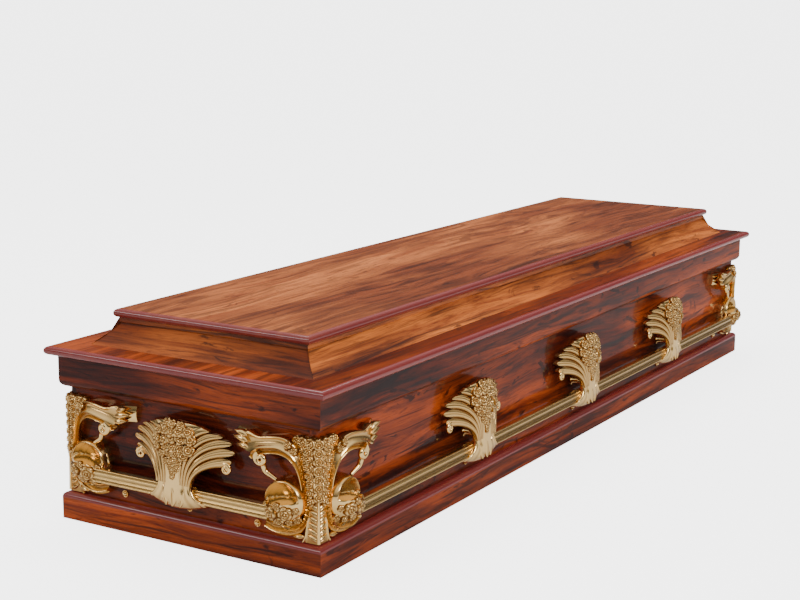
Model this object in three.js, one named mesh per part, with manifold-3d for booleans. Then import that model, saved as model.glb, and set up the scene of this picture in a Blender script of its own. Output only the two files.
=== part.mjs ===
// Wooden coffin with a two-step flat-topped lid, cast corner brackets, grip bars and bar lugs.
// Millimetres, +Z up. The origin is on the ground under the middle of the plinth.
// X runs along the coffin, Y across it. A wall frame is (along the wall, out of the wall, up).

import * as THREE from 'three';
import { mergeVertices } from 'three/addons/utils/BufferGeometryUtils.js';
import Module from 'manifold-3d';

const wasm = await Module();
wasm.setup();

// Box: outer size over the plinth, and the boards it is made of
const LENGTH = 2000;
const WIDTH = 572;
const BODY_HEIGHT = 309;
const WALL = 16;
const FLOOR = 16;

// Plinth and rim mouldings, laid on the outside of the walls
const PLINTH_HEIGHT = 50;
const PLINTH_ROUND = 9;
const RIM_HEIGHT = 60;
const RIM_ROUND = 13;
const MOULDING = 16;

// Lid: flange board, four coved slopes and the top board
const FLANGE_THICK = 16;
const FLANGE_OVERHANG = 18;
const SLOPE_SETBACK = 42;
const SLOPE_RUN = 39;
const SLOPE_RISE = 38;
const SLOPE_BOARD = 15;
const COVE_DEPTH = 2.4;
const FILLET_HEIGHT = 10;
const FILLET_STEP = 2;
const TOP_THICK = 16;
const TOP_OVERHANG = 8;

// Grip bars
const BAR_HEIGHT = 26;
const BAR_DEPTH = 18;
const BAR_STANDOFF = 30;
const BAR_LIFT = 53;
const REED_DEPTH = 1.6;

// Castings
const SMALLEST_EDGE = 0.06;
const SEAT_GAP = 0.3;
const BAR_CLEARANCE = 0.4;
const CAST_WALL = 8;
const BRACKET_REACH = 158;
const BRACKET_FOOT_GAP = 2;
const BRACKET_HEAD_GAP = 13;
const BAND_THICK = 5;
const POCKET_DEPTH = 16;
const SOCKET_HALF_LENGTH = 38;
const SOCKET_SETBACK = 17;
const LUG_PITCH = 480;
const LUGS_PER_SIDE = 3;
const LUG_SIDE_GAP = 7;
const LUG_HEAD_GAP = 12;
const LUG_FOOT_GAP = 23;
const POST_RADIUS = 8;
const CAP_RADIUS = 7;
const CAP_LIFT = 17;
const CAP_FROM_CORNER = 123;

// Heights and planes that follow from them
const halfLength = LENGTH / 2;
const halfWidth = WIDTH / 2;
const wallX = halfLength - MOULDING;
const wallY = halfWidth - MOULDING;
const rimBottom = BODY_HEIGHT - RIM_HEIGHT;
const flangeTop = BODY_HEIGHT + FLANGE_THICK;
const slopeTop = flangeTop + SLOPE_RISE;
const topUnderside = slopeTop + FILLET_HEIGHT;
const barZ = PLINTH_HEIGHT + BAR_LIFT;
const barFront = BAR_STANDOFF + BAR_DEPTH / 2;
const socketS = SOCKET_SETBACK + SOCKET_HALF_LENGTH;
const pocketS = socketS + SOCKET_HALF_LENGTH - POCKET_DEPTH;

const finishes = {
  wall: new THREE.MeshStandardMaterial({ color: 0x6e2a1c, roughness: 0.22, metalness: 0 }),
  edge: new THREE.MeshStandardMaterial({ color: 0x5c1f20, roughness: 0.2, metalness: 0 }),
  slope: new THREE.MeshStandardMaterial({ color: 0xb5683a, roughness: 0.25, metalness: 0 }),
  top: new THREE.MeshStandardMaterial({ color: 0x94583c, roughness: 0.25, metalness: 0 }),
  board: new THREE.MeshStandardMaterial({ color: 0xc9a67c, roughness: 0.6, metalness: 0 }),
  casting: new THREE.MeshStandardMaterial({ color: 0xd2a860, roughness: 0.18, metalness: 1 }),
  bar: new THREE.MeshStandardMaterial({ color: 0xa8925c, roughness: 0.35, metalness: 1 }),
};

// A closed indexed mesh whose faces point out, from corner positions and triangles
function closedMesh(positions, triangles) {
  let volume = 0;
  for (const [i, j, k] of triangles) {
    const a = new THREE.Vector3(...positions[i]);
    const b = new THREE.Vector3(...positions[j]);
    const c = new THREE.Vector3(...positions[k]);
    volume += a.dot(b.cross(c));
  }
  const index = triangles.flatMap(([i, j, k]) => (volume < 0 ? [i, k, j] : [i, j, k]));
  const geometry = new THREE.BufferGeometry();
  geometry.setAttribute('position', new THREE.Float32BufferAttribute(positions.flat(), 3));
  geometry.setIndex(index);
  return geometry;
}

// A profile carried through stations, closed by a cap at each end.
// Each station is a function that places a profile point in space
function carry(profile, stations) {
  const count = profile.length;
  const positions = stations.flatMap((place) => profile.map((point) => place(point)));
  const triangles = [];
  for (let row = 0; row < stations.length - 1; row += 1) {
    for (let i = 0; i < count; i += 1) {
      const a = row * count + i;
      const b = row * count + ((i + 1) % count);
      triangles.push([a, b, b + count]);
      triangles.push([a, b + count, a + count]);
    }
  }
  const contour = profile.map(([x, y]) => new THREE.Vector2(x, y));
  const last = (stations.length - 1) * count;
  for (const cap of THREE.ShapeUtils.triangulateShape(contour, [])) {
    const [a, b, c] = cap.map((i) => contour[i]);
    const turn = (b.x - a.x) * (c.y - a.y) - (b.y - a.y) * (c.x - a.x);
    const [i, j, k] = turn * THREE.ShapeUtils.area(contour) > 0 ? cap : [...cap].reverse();
    triangles.push([i, k, j]);
    triangles.push([last + i, last + j, last + k]);
  }
  return closedMesh(positions, triangles);
}

// A closed sheet between a front grid and a back grid that follows every second column of it
function sheetBody(front, back) {
  const wide = front[0].length;
  const narrow = back[0].length;
  const last = front.length - 1;
  const positions = front.flatMap((row, i) => [...row, ...back[i]]);
  const f = (row, i) => row * (wide + narrow) + i;
  const b = (row, k) => f(row, wide + k);
  const triangles = [];
  const quad = (p, q, r, s) => triangles.push([p, q, r], [p, r, s]);
  for (let row = 0; row < last; row += 1) {
    const next = row + 1;
    for (let i = 0; i < wide - 1; i += 1) quad(f(row, i), f(row, i + 1), f(next, i + 1), f(next, i));
    for (let k = 0; k < narrow - 1; k += 1) quad(b(row, k), b(next, k), b(next, k + 1), b(row, k + 1));
    quad(f(row, 0), f(next, 0), b(next, 0), b(row, 0));
    quad(f(next, wide - 1), f(row, wide - 1), b(row, narrow - 1), b(next, narrow - 1));
  }
  for (let k = 0; k < narrow - 1; k += 1) {
    const hem = (row) => {
      const [left, middle, right] = [2 * k, 2 * k + 1, 2 * k + 2].map((i) => f(row, i));
      const [near, far] = [b(row, k), b(row, k + 1)];
      return [[middle, left, near], [right, middle, far], [middle, near, far]];
    };
    triangles.push(...hem(0), ...hem(last).map((corners) => corners.reverse()));
  }
  return closedMesh(positions, triangles);
}

// The same profile round the four corners of the coffin's plan and back to the start
function carryRound(profile) {
  const corners = [[-1, -1], [1, -1], [1, 1], [-1, 1]];
  const positions = corners.flatMap(([sx, sy]) => profile.map(([offset, z]) => (
    [sx * (halfLength + offset), sy * (halfWidth + offset), z])));
  const count = profile.length;
  const triangles = [];
  for (let corner = 0; corner < corners.length; corner += 1) {
    for (let i = 0; i < count; i += 1) {
      const next = ((corner + 1) % corners.length) * count;
      const a = corner * count + i;
      const b = corner * count + ((i + 1) % count);
      triangles.push([a, b, next + ((i + 1) % count)]);
      triangles.push([a, next + ((i + 1) % count), next + i]);
    }
  }
  return closedMesh(positions, triangles);
}

const flat = (geometry) => {
  const plain = geometry.clone();
  plain.deleteAttribute('normal');
  plain.deleteAttribute('uv');
  return plain;
};

const solid = (geometry) => {
  const merged = mergeVertices(flat(geometry), 1e-3);
  return new wasm.Manifold(new wasm.Mesh({
    numProp: 3,
    vertProperties: new Float32Array(merged.attributes.position.array),
    triVerts: new Uint32Array(merged.index.array),
  }));
};

// The mesh of a joined body, without edges shorter than the smallest one that is kept
const geometryOf = (body) => {
  const mesh = body.asOriginal().simplify(SMALLEST_EDGE).getMesh();
  const geometry = new THREE.BufferGeometry();
  geometry.setAttribute('position', new THREE.BufferAttribute(mesh.vertProperties, 3));
  geometry.setIndex(new THREE.BufferAttribute(mesh.triVerts, 1));
  return geometry;
};

const join = (geometries) => geometries.map(solid).reduce((sum, body) => sum.add(body));

const model = new THREE.Group();

function add(name, geometry, material) {
  const plain = flat(geometry).toNonIndexed();
  plain.computeVertexNormals();
  const mesh = new THREE.Mesh(plain, material.clone());
  mesh.name = name;
  model.add(mesh);
  return mesh;
}

// Points on an arc; angles in degrees, one point at each end and the rest evenly between
function arc(cx, cy, radius, from, to, steps) {
  return Array.from({ length: steps + 1 }, (_, i) => {
    const angle = THREE.MathUtils.degToRad(from + ((to - from) * i) / steps);
    return [cx + radius * Math.cos(angle), cy + radius * Math.sin(angle)];
  });
}

// Wood: a square-edged board between two corners
function board(x0, x1, y0, y1, z0, z1) {
  const outline = [[x0, y0], [x1, y0], [x1, y1], [x0, y1]];
  return carry(outline, [z0, z1].map((z) => ([x, y]) => [x, y, z]));
}

// Wood: four mitred runs of one moulding. A profile point is (out from the plinth face, height)
function addMitred(name, profile, material) {
  const runs = {
    front: (end) => ([offset, z]) => [end * (halfLength + offset), -(halfWidth + offset), z],
    back: (end) => ([offset, z]) => [end * (halfLength + offset), halfWidth + offset, z],
    left: (end) => ([offset, z]) => [-(halfLength + offset), end * (halfWidth + offset), z],
    right: (end) => ([offset, z]) => [halfLength + offset, end * (halfWidth + offset), z],
  };
  for (const [side, station] of Object.entries(runs)) {
    add(`${name}_${side}`, carry(profile, [station(-1), station(1)]), material);
  }
}

function addBox() {
  add('floor_board', board(-wallX, wallX, -wallY, wallY, 0, FLOOR), finishes.board);
  const innerX = wallX - WALL;
  const innerY = wallY - WALL;
  const walls = {
    side_board_front: [-wallX, wallX, -wallY, -innerY],
    side_board_back: [-wallX, wallX, innerY, wallY],
    end_board_left: [-wallX, -innerX, -innerY, innerY],
    end_board_right: [innerX, wallX, -innerY, innerY],
  };
  for (const [name, plan] of Object.entries(walls)) {
    add(name, board(...plan, FLOOR, BODY_HEIGHT), finishes.wall);
  }
}

function addMouldings() {
  const plinthCentre = PLINTH_HEIGHT - PLINTH_ROUND;
  addMitred('plinth', [
    [-MOULDING, 0],
    [0, 0],
    ...arc(-PLINTH_ROUND, plinthCentre, PLINTH_ROUND, 0, 90, 4),
    [-MOULDING, PLINTH_HEIGHT],
  ], finishes.wall);
  addMitred('rim_moulding', [
    [-MOULDING, rimBottom],
    ...arc(-RIM_ROUND, rimBottom + RIM_ROUND, RIM_ROUND, 270, 360, 4),
    [0, BODY_HEIGHT],
    [-MOULDING, BODY_HEIGHT],
  ], finishes.wall);
}

// The slope is an arc whose hollow lies COVE_DEPTH below the straight line from foot to head
function coveLine(steps) {
  const chord = Math.hypot(SLOPE_RUN, SLOPE_RISE);
  const radius = (chord * chord) / (8 * COVE_DEPTH) + COVE_DEPTH / 2;
  const tilt = Math.atan2(SLOPE_RISE, SLOPE_RUN);
  const half = Math.asin(chord / (2 * radius));
  return Array.from({ length: steps + 1 }, (_, i) => {
    const angle = half * ((2 * i) / steps - 1);
    const along = chord / 2 + radius * Math.sin(angle);
    const sag = radius * Math.cos(angle) - radius * Math.cos(half);
    const run = along * Math.cos(tilt) + sag * Math.sin(tilt);
    const rise = along * Math.sin(tilt) - sag * Math.cos(tilt);
    return [-SLOPE_SETBACK - run, flangeTop + rise];
  });
}

function addLid() {
  const foot = -SLOPE_SETBACK - SLOPE_BOARD;
  const nose = FLANGE_THICK / 2;
  add('lid_flange', carryRound([
    [foot, BODY_HEIGHT],
    ...arc(FLANGE_OVERHANG - nose, BODY_HEIGHT + nose, nose, -90, 90, 6),
    [foot, flangeTop],
  ]), finishes.edge);

  const head = -SLOPE_SETBACK - SLOPE_RUN;
  const fillet = head + FILLET_STEP;
  addMitred('lid_slope', [
    ...coveLine(5),
    [fillet, slopeTop + FILLET_STEP],
    [fillet, topUnderside],
    [head - SLOPE_BOARD, topUnderside],
    [head - SLOPE_BOARD, slopeTop],
    [foot, flangeTop],
  ], finishes.slope);

  const topNose = TOP_THICK / 2;
  const edge = arc(fillet + TOP_OVERHANG - topNose, topUnderside + topNose, topNose, -90, 90, 6);
  const plan = [[-1, -1], [1, -1], [1, 1], [-1, 1]];
  add('lid_top_board', carry(plan, edge.map(([offset, z]) => ([sx, sy]) => (
    [sx * (halfLength + offset), sy * (halfWidth + offset), z]))), finishes.top);
}

// Grip bar section, (out of the wall, height) from the bar's centre, with reeds on its front
function barSection() {
  const front = BAR_DEPTH / 2;
  const half = BAR_HEIGHT / 2;
  const soft = BAR_DEPTH / 6;
  const reedTops = [0.34, 0.04, -0.26];
  const reedHalf = BAR_HEIGHT * 0.07;
  const reeds = reedTops.flatMap((share) => {
    const z = share * BAR_HEIGHT;
    return [[front, z + reedHalf], [front - REED_DEPTH, z], [front, z - reedHalf]];
  });
  return [
    [-front, -half + soft],
    [-front, half - soft],
    [-front + soft, half],
    [front - soft, half],
    ...reeds,
    [front - soft, -half],
    [-front + soft, -half],
  ];
}

function bar(halfSpan) {
  return carry(barSection(), [-halfSpan, halfSpan].map((along) => ([out, up]) => (
    [along, -BAR_STANDOFF - out, barZ + up])));
}

// The space that a bar needs, with its clearance all round
function barTunnel(from, to) {
  const halfOut = BAR_DEPTH / 2 + BAR_CLEARANCE;
  const halfUp = BAR_HEIGHT / 2 + BAR_CLEARANCE;
  const [near, far] = [-BAR_STANDOFF - halfOut, -BAR_STANDOFF + halfOut];
  return solid(board(from, to, near, far, barZ - halfUp, barZ + halfUp));
}

// A ball with few faces, stretched to its half sizes; it has its poles on the Y axis
function lump(centre, halves, facets = 4, rows = 2) {
  const ball = new THREE.SphereGeometry(1, facets, rows);
  ball.scale(...halves);
  ball.translate(...centre);
  return ball;
}

// A five-petalled bloom, a low pyramid whose tip stands a given height out of the wall
function rosette(along, out, up, radius) {
  const rise = radius * 0.6;
  const bloom = lump([0, 0, 0], [radius, rise, radius], 5);
  bloom.rotateY(0.2);
  bloom.translate(along, rise - out, up);
  return bloom;
}

// A round rod along a smooth curve through the points
function rod(points, radius, sides, steps) {
  const section = new THREE.Shape(arc(0, 0, radius, 0, 360 - 360 / sides, sides - 1)
    .map(([x, y]) => new THREE.Vector2(x, y)));
  const path = new THREE.CatmullRomCurve3(points.map((point) => new THREE.Vector3(...point)));
  return new THREE.ExtrudeGeometry(section, { steps, extrudePath: path });
}

// Corner bracket. Drawn 184 high and 158 along each wall; heights then follow the wall's free band
const bracketBottom = PLINTH_HEIGHT + BRACKET_FOOT_GAP;
const bracketTop = rimBottom - BRACKET_HEAD_GAP;
const bracketZ = (drawn) => bracketBottom + ((bracketTop - bracketBottom) * drawn) / 184;
const bracketS = (drawn) => (BRACKET_REACH * drawn) / 158;

// The half of the corner band that lies on one wall: wide head, narrow waist, flared foot
function bracketBand() {
  const edge = [[30, 0], [24, 10], [19, 36], [18, 84], [21, 118], [30, 146], [40, 177], [42, 184]];
  const outline = [
    [-BAND_THICK, bracketZ(0)],
    ...edge.map(([along, up]) => [along, bracketZ(up)]),
    [-BAND_THICK, bracketZ(184)],
  ];
  return carry(outline, [SEAT_GAP, BAND_THICK].map((out) => ([along, up]) => [along, -out, up]));
}

// The C scroll: inner and outer edges from leafy tip over the arch and down to the foot
function bracketScroll() {
  const inner = [
    [121, 138], [95, 147], [60, 151], [34, 131],
    [27, 111], [24, 68], [41, 38], [59, 32], [97, 36],
  ];
  const outer = [
    [140, 176], [103, 178], [58, 182], [27, 158],
    [20, 128], [13, 69], [25, 20], [45, 9], [92, 13],
  ];
  const heights = [30, 34, 32, 24, 20, 17, 20, 22, 26];
  const ridges = [[0, 0], [0.12, 1], [0.42, 0.66], [0.7, 1], [1, 0.7], [1, 0]];
  return carry(ridges, heights.map((height, i) => ([across, share]) => {
    const along = THREE.MathUtils.lerp(inner[i][0], outer[i][0], across);
    const up = THREE.MathUtils.lerp(inner[i][1], outer[i][1], across);
    return [bracketS(along), -SEAT_GAP - height * share, bracketZ(up)];
  }));
}

function bracketWing() {
  const socketFront = barFront + CAST_WALL;
  const socketCentre = [socketS, -socketFront / 2, barZ + 17];
  const socket = lump(socketCentre, [SOCKET_HALF_LENGTH, socketFront / 2, 40], 7, 4);
  const scoop = lump([socketS, -socketFront - 2, barZ + 38], [28, 22, 24], 6, 3);
  const curl = rod([
    [bracketS(96), -24, bracketZ(152)],
    [bracketS(105), -26, bracketZ(136)],
    [bracketS(94), -27, bracketZ(123)],
    [bracketS(77), -27, bracketZ(110)],
  ], 5, 4, 3);
  const roses = [[-17, 2], [15, -4]].map(([along, up]) => (
    rosette(socketS + along, socketFront + 2, barZ + up, 17)));
  const tip = lump([bracketS(145), -17.5, bracketZ(168)], [12.6, 16, 16.5]);
  const pad = board(bracketS(132), BRACKET_REACH, -12, -SEAT_GAP, bracketZ(153), bracketZ(181));
  const wing = join([bracketScroll(), tip, pad, curl]);
  return wing.add(solid(socket).subtract(solid(scoop))).add(join(roses));
}

function bracket() {
  const bosses = [[162, 25, 17], [128, 13, 15], [96, 9, 12]].map(([up, along, radius]) => (
    rosette(along, BAND_THICK + 7, bracketZ(up), radius)));
  const leaflets = [20, 48].map((up) => (
    lump([6, -BAND_THICK, bracketZ(up)], [14, 6, 15])));
  const half = join([bracketBand(), ...bosses, ...leaflets]).add(bracketWing());
  const far = 2 * BRACKET_REACH;
  const wall = solid(board(-BRACKET_REACH, far, -SEAT_GAP, BRACKET_REACH, 0, BODY_HEIGHT));
  const carved = half.subtract(wall).subtract(barTunnel(pocketS, far));
  const across = new THREE.Matrix4().set(0, 1, 0, 0, 1, 0, 0, 0, 0, 0, 1, 0, 0, 0, 0, 1);
  const other = carved.transform(across.elements);
  return geometryOf(carved.add(other));
}

// Bar lug. Drawn 105 to each side and 164 high, then fitted between the corner brackets and the rim
const lugHalf = wallY - BRACKET_REACH - LUG_SIDE_GAP;
const lugBottom = PLINTH_HEIGHT + LUG_FOOT_GAP;
const lugTop = rimBottom - LUG_HEAD_GAP;
const lugZ = (drawn) => lugBottom + ((lugTop - lugBottom) * drawn) / 164;
const lugU = (drawn) => (lugHalf * drawn) / 105;
const lugFront = barFront + CAST_WALL + 4;

// The fan of leaf fingers: each column runs up from the waist and bends outward to the rim.
// A column is (reach and height of its end, how far the end stands out of the wall, its length share)
function lugFan() {
  const half = [
    [0, 160, 34, 1], [32, 157, 33, 1], [64, 146, 20, 1], [72, 138, 16, 0.84], [97, 134, 11, 1],
    [93, 120, 10, 0.84], [108, 114, 10, 1], [92, 98, 11, 0.84], [98, 88, 13, 1],
  ];
  const rootHalf = 38;
  const rootUp = 52;
  const valley = 3;
  const last = half.length - 1;
  const columns = [
    ...half.slice(1).reverse().map(([reach, ...rest]) => [-reach, ...rest]),
    ...half,
  ];
  const point = (i, length, back) => {
    const [reach, rise, out, share] = columns[i];
    const t = length * share;
    const root = (rootHalf * (i - last)) / last;
    const along = root * (1 - t) * (1 - t) + 2.2 * root * t * (1 - t) + reach * t * t;
    const up = rootUp * (1 - t) * (1 - t) + 2 * rise * t * (1 - t) + rise * t * t;
    const dip = share < 1 ? valley * length : 0;
    const depth = THREE.MathUtils.lerp(lugFront - 5, out, t * t) - dip - back;
    return [lugU(along), -depth, lugZ(up)];
  };
  const every = columns.map((_, i) => i);
  const ridges = every.filter((i) => i % 2 === 0);
  const grid = (chosen, back) => [0, 0.6, 1].map((length) => chosen.map((i) => point(i, length, back)));
  return sheetBody(grid(every, 0), grid(ridges, CAST_WALL));
}

// The sleeve over the bar, in rows from the waist down: half width, how far the sides lift and how far
// they fall back, then how far out and how high its outer face and its inner face stand
function lugSleeve() {
  const rows = [
    [36, 0, 3, [lugFront - 4, 66], [lugFront - 12, 66]],
    [35, 0, 4, [lugFront - 2, 46], [lugFront - 10.5, 46]],
    [43, 3, 4, [lugFront - 1, 27], [lugFront - 10.4, 27]],
    [58, 8, 1, [lugFront - 3, 11], [lugFront - 10.4, 18]],
    [60, 9, 0, [lugFront - 14, 1], [lugFront - 11.2, 7.2]],
    [55, 8, 0, [15, 3], [15, 8.2]],
  ];
  const grid = (columns, face) => rows.map(([half, lift, fall, ...faces]) => columns.map((across) => {
    const [out, up] = faces[face];
    const bend = across * across;
    const back = face ? 0 : fall * bend;
    return [lugU(half * across), back - out, lugZ(up + lift * bend)];
  }));
  return sheetBody(grid([-1, -0.5, 0, 0.5, 1], 0), grid([-1, 0, 1], 1));
}

function lug() {
  const places = [[-24, 131], [25, 131.6], [0.5, 103]];
  const blooms = places.map(([along, up]) => (
    rosette(lugU(along), lugFront + 2 - (along * along) / 160, lugZ(up), 20)));
  const postLength = lugFront - CAST_WALL;
  const post = new THREE.CylinderGeometry(POST_RADIUS, POST_RADIUS, postLength, 6);
  post.rotateY(0.25);
  post.translate(0, -postLength / 2, barZ + BAR_HEIGHT / 2 + 2 * POST_RADIUS);
  const wall = solid(board(-2 * lugHalf, 2 * lugHalf, -SEAT_GAP, BAR_STANDOFF, 0, BODY_HEIGHT));
  const shell = join([lugFan(), lugSleeve(), post, ...blooms]);
  return geometryOf(shell.subtract(barTunnel(-lugHalf, lugHalf)).subtract(wall));
}

function screwCap() {
  const dome = arc(0, 0, CAP_RADIUS, 0, 90, 2).map(([radius, up]) => new THREE.Vector2(radius, up));
  const cap = new THREE.LatheGeometry([new THREE.Vector2(0, 0), ...dome], 5);
  cap.rotateX(Math.PI);
  cap.translate(0, -SEAT_GAP, 0);
  return geometryOf(solid(cap));
}

// The four walls: where the middle of each stands and how a fitting turns to face out of it
const walls = {
  front: { at: [0, -wallY], turn: 0, half: wallX },
  right: { at: [wallX, 0], turn: Math.PI / 2, half: wallY },
  back: { at: [0, wallY], turn: Math.PI, half: wallX },
  left: { at: [-wallX, 0], turn: -Math.PI / 2, half: wallY },
};

function fit(name, geometry, material, wall, along, up) {
  const mesh = add(name, geometry, material);
  const cos = Math.round(Math.cos(wall.turn));
  const sin = Math.round(Math.sin(wall.turn));
  mesh.position.set(wall.at[0] + along * cos, wall.at[1] + along * sin, up);
  mesh.rotation.z = wall.turn;
}

function addFittings() {
  const bracketForm = bracket();
  const lugForm = lug();
  const capForm = screwCap();
  const capZ = PLINTH_HEIGHT + CAP_LIFT;
  for (const [side, wall] of Object.entries(walls)) {
    const span = wall.half - pocketS - BAR_CLEARANCE;
    fit(`grip_bar_${side}`, bar(span), finishes.bar, wall, 0, 0);

    const long = wall.half === wallX;
    const count = long ? LUGS_PER_SIDE : 1;
    for (let i = 0; i < count; i += 1) {
      const along = (i - (count - 1) / 2) * LUG_PITCH;
      const label = long ? `${side}_${i + 1}` : side;
      fit(`bar_lug_${label}`, lugForm, finishes.casting, wall, along, 0);
      fit(`screw_cap_${label}`, capForm, finishes.casting, wall, along, capZ);
    }
    for (const [end, hand] of [['a', -1], ['b', 1]]) {
      const along = hand * (wall.half - CAP_FROM_CORNER);
      fit(`screw_cap_${side}_${end}`, capForm, finishes.casting, wall, along, capZ);
    }
  }
  const corners = {
    front_left: [-1, -1, 0],
    front_right: [1, -1, 1],
    back_right: [1, 1, 2],
    back_left: [-1, 1, 3],
  };
  for (const [corner, [sx, sy, quarter]] of Object.entries(corners)) {
    const mesh = add(`corner_bracket_${corner}`, bracketForm, finishes.casting);
    mesh.position.set(sx * wallX, sy * wallY, 0);
    mesh.rotation.z = (quarter * Math.PI) / 2;
  }
}

addBox();
addMouldings();
addLid();
addFittings();

export default model;
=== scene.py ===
# %% [markdown]
# # A lacquered wooden coffin with gilt fittings
# The boards, mouldings and fittings come in as a fixed frame, each at its real size and place.
# This script dresses that frame: it gives the boards a figured, lacquered wood, and swaps the
# faceted mouldings and castings for smooth, carved ones that fill the same space.

import math

import bpy
import numpy as np
from mathutils import Matrix, Vector


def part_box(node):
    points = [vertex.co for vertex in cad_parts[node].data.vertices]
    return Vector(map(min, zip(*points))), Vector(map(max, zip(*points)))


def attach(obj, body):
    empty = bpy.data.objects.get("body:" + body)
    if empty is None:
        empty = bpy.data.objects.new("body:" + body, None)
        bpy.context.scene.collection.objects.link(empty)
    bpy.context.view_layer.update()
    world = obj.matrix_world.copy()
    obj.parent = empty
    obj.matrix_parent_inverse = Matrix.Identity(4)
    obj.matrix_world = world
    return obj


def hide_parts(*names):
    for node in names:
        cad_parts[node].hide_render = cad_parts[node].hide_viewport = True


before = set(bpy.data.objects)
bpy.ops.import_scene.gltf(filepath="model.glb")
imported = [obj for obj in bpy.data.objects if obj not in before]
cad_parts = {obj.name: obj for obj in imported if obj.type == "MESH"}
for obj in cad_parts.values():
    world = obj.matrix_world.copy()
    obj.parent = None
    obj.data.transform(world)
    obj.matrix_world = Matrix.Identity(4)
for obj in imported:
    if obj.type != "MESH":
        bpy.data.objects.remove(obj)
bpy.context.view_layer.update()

# %% [markdown]
# ## The sizes that everything hangs on
# Every place below is read from the frame's own boxes, so the new pieces sit where the faceted ones
# do. Carved forms are drawn in millimetres, because that is how a pattern maker would measure them,
# and are turned into metres only when a piece is made.

# %% Read the frame's planes
MM = 0.001


def extent(node):
    """A node's lowest and highest corner in millimetres."""
    low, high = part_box(node)
    return np.array(low) / MM, np.array(high) / MM


floor_high = extent("floor_board")[1]
wall_x, wall_y = floor_high[0], floor_high[1]
plinth_low, plinth_high = extent("plinth_front")
half_length, half_width = plinth_high[0], -plinth_low[1]
plinth_height = plinth_high[2]
rim_low, rim_high = extent("rim_moulding_front")
flange_low, flange_high = extent("lid_flange")
slope_low, slope_high = extent("lid_slope_front")
top_low, top_high = extent("lid_top_board")
bar_low, bar_high = extent("grip_bar_front")
bracket_low = extent("corner_bracket_front_left")[0]
lug_low = extent("bar_lug_front_2")[0]
bar_z = (bar_low[2] + bar_high[2]) / 2
bar_out = -wall_y - (bar_low[1] + bar_high[1]) / 2
bar_front = -wall_y - bar_low[1]
print("walls at", wall_x, wall_y, "bar centre", bar_out, "out,", bar_z, "up")

# %% [markdown]
# ## Making a mesh from whole arrays
# Each form is a grid of points worked out in one go. A *sheet* has a front grid and a back grid, sewn
# together round the border, so it is a closed body like a thin casting. A *pod* is a stack of rings
# closed by a point at each end. Both are turned inside out if their volume comes out negative.


# %% Faces of a grid
def grid_faces(rows, columns, wrap=False):
    """Four-cornered faces between the points of a grid; wrap joins its last column to its first."""
    across = np.arange(columns if wrap else columns - 1)
    down = np.arange(rows - 1)[:, None]
    near = down * columns + across
    far = down * columns + (across + 1) % columns
    return np.stack([near, far, far + columns, near + columns], axis=-1).reshape(-1, 4)


def outward(points, faces):
    """Turns every face round if the summed volume of its corner pyramids is negative."""
    a, b, c, d = (points[faces[:, i]] for i in range(4))
    volume = np.einsum("ij,ij->", a, np.cross(b, c)) + np.einsum("ij,ij->", a, np.cross(c, d))
    return (points, faces) if volume > 0 else (points, faces[:, ::-1])


print("faces of a 3 by 3 grid:", len(grid_faces(3, 3)))

# %% A sheet and a pod
def sheet(front, back):
    """A closed body between two grids of the same shape, with a wall round their border."""
    rows, columns = front.shape[:2]
    points = np.concatenate([front.reshape(-1, 3), back.reshape(-1, 3)])
    index = np.arange(rows * columns).reshape(rows, columns)
    border = np.concatenate([index[0, :-1], index[:-1, -1], index[-1, :0:-1], index[:0:-1, 0]])
    after = np.roll(border, -1)
    shift = rows * columns
    skirt = np.stack([border, border + shift, after + shift, after], axis=-1)
    face = grid_faces(rows, columns)
    return outward(points, np.concatenate([face, face[:, ::-1] + shift, skirt]))


def pod(rings):
    """A closed body from a stack of rings; each end is closed by four-sided faces round a centre point."""
    count, sides = rings.shape[:2]
    ends = np.stack([rings[0].mean(axis=0), rings[-1].mean(axis=0)])
    points = np.concatenate([rings.reshape(-1, 3), ends])
    step = np.arange(0, sides, 2)
    after = (step + 1) % sides
    beyond = (step + 2) % sides
    centre = np.full(step.size, count * sides)
    base = (count - 1) * sides
    first = np.stack([centre, beyond, after, step], axis=-1)
    last = np.stack([centre + 1, base + step, base + after, base + beyond], axis=-1)
    return outward(points, np.concatenate([grid_faces(count, sides, wrap=True), first, last]))


print("faces of a pod of three rings:", len(pod(np.zeros((3, 8, 3)))[1]))

# %% A tube, a gathering and a smooth line
def tube(path, radii, sides=10):
    """A round rod: at each point of the path a ring stands square to it, with that point's radius."""
    path = np.asarray(path, float)
    ahead = np.gradient(path, axis=0)
    ahead /= np.linalg.norm(ahead, axis=1, keepdims=True)
    side = np.cross(ahead, [0.0, 1.0, 0.0])
    side /= np.linalg.norm(side, axis=1, keepdims=True)
    up = np.cross(side, ahead)
    turn = np.linspace(0, 2 * np.pi, sides, endpoint=False)
    ring = np.cos(turn)[None, :, None] * side[:, None] + np.sin(turn)[None, :, None] * up[:, None]
    return pod(path[:, None] + ring * np.asarray(radii, float).reshape(-1, 1, 1))


def gather(parts):
    """Puts many closed bodies into one list of points and faces."""
    points, faces, start = [], [], 0
    for part_points, part_faces in parts:
        points.append(part_points)
        faces.append(part_faces + start)
        start += len(part_points)
    return np.concatenate(points), np.concatenate(faces)


def smooth_line(stations, count):
    """A smooth line through stations: cubic Hermite pieces, sloped by the neighbours' difference."""
    stations = np.asarray(stations, float)
    slope = np.gradient(stations, axis=0)
    place = np.linspace(0, len(stations) - 1, count)
    i = np.minimum(place.astype(int), len(stations) - 2)
    t = (place - i)[:, None]
    return ((2 * t**3 - 3 * t**2 + 1) * stations[i] + (t**3 - 2 * t**2 + t) * slope[i]
            + (-2 * t**3 + 3 * t**2) * stations[i + 1] + (t**3 - t**2) * slope[i + 1])


print("middle of a smooth line:", smooth_line([(0, 0), (1, 2), (2, 0)], 3)[1])

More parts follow.
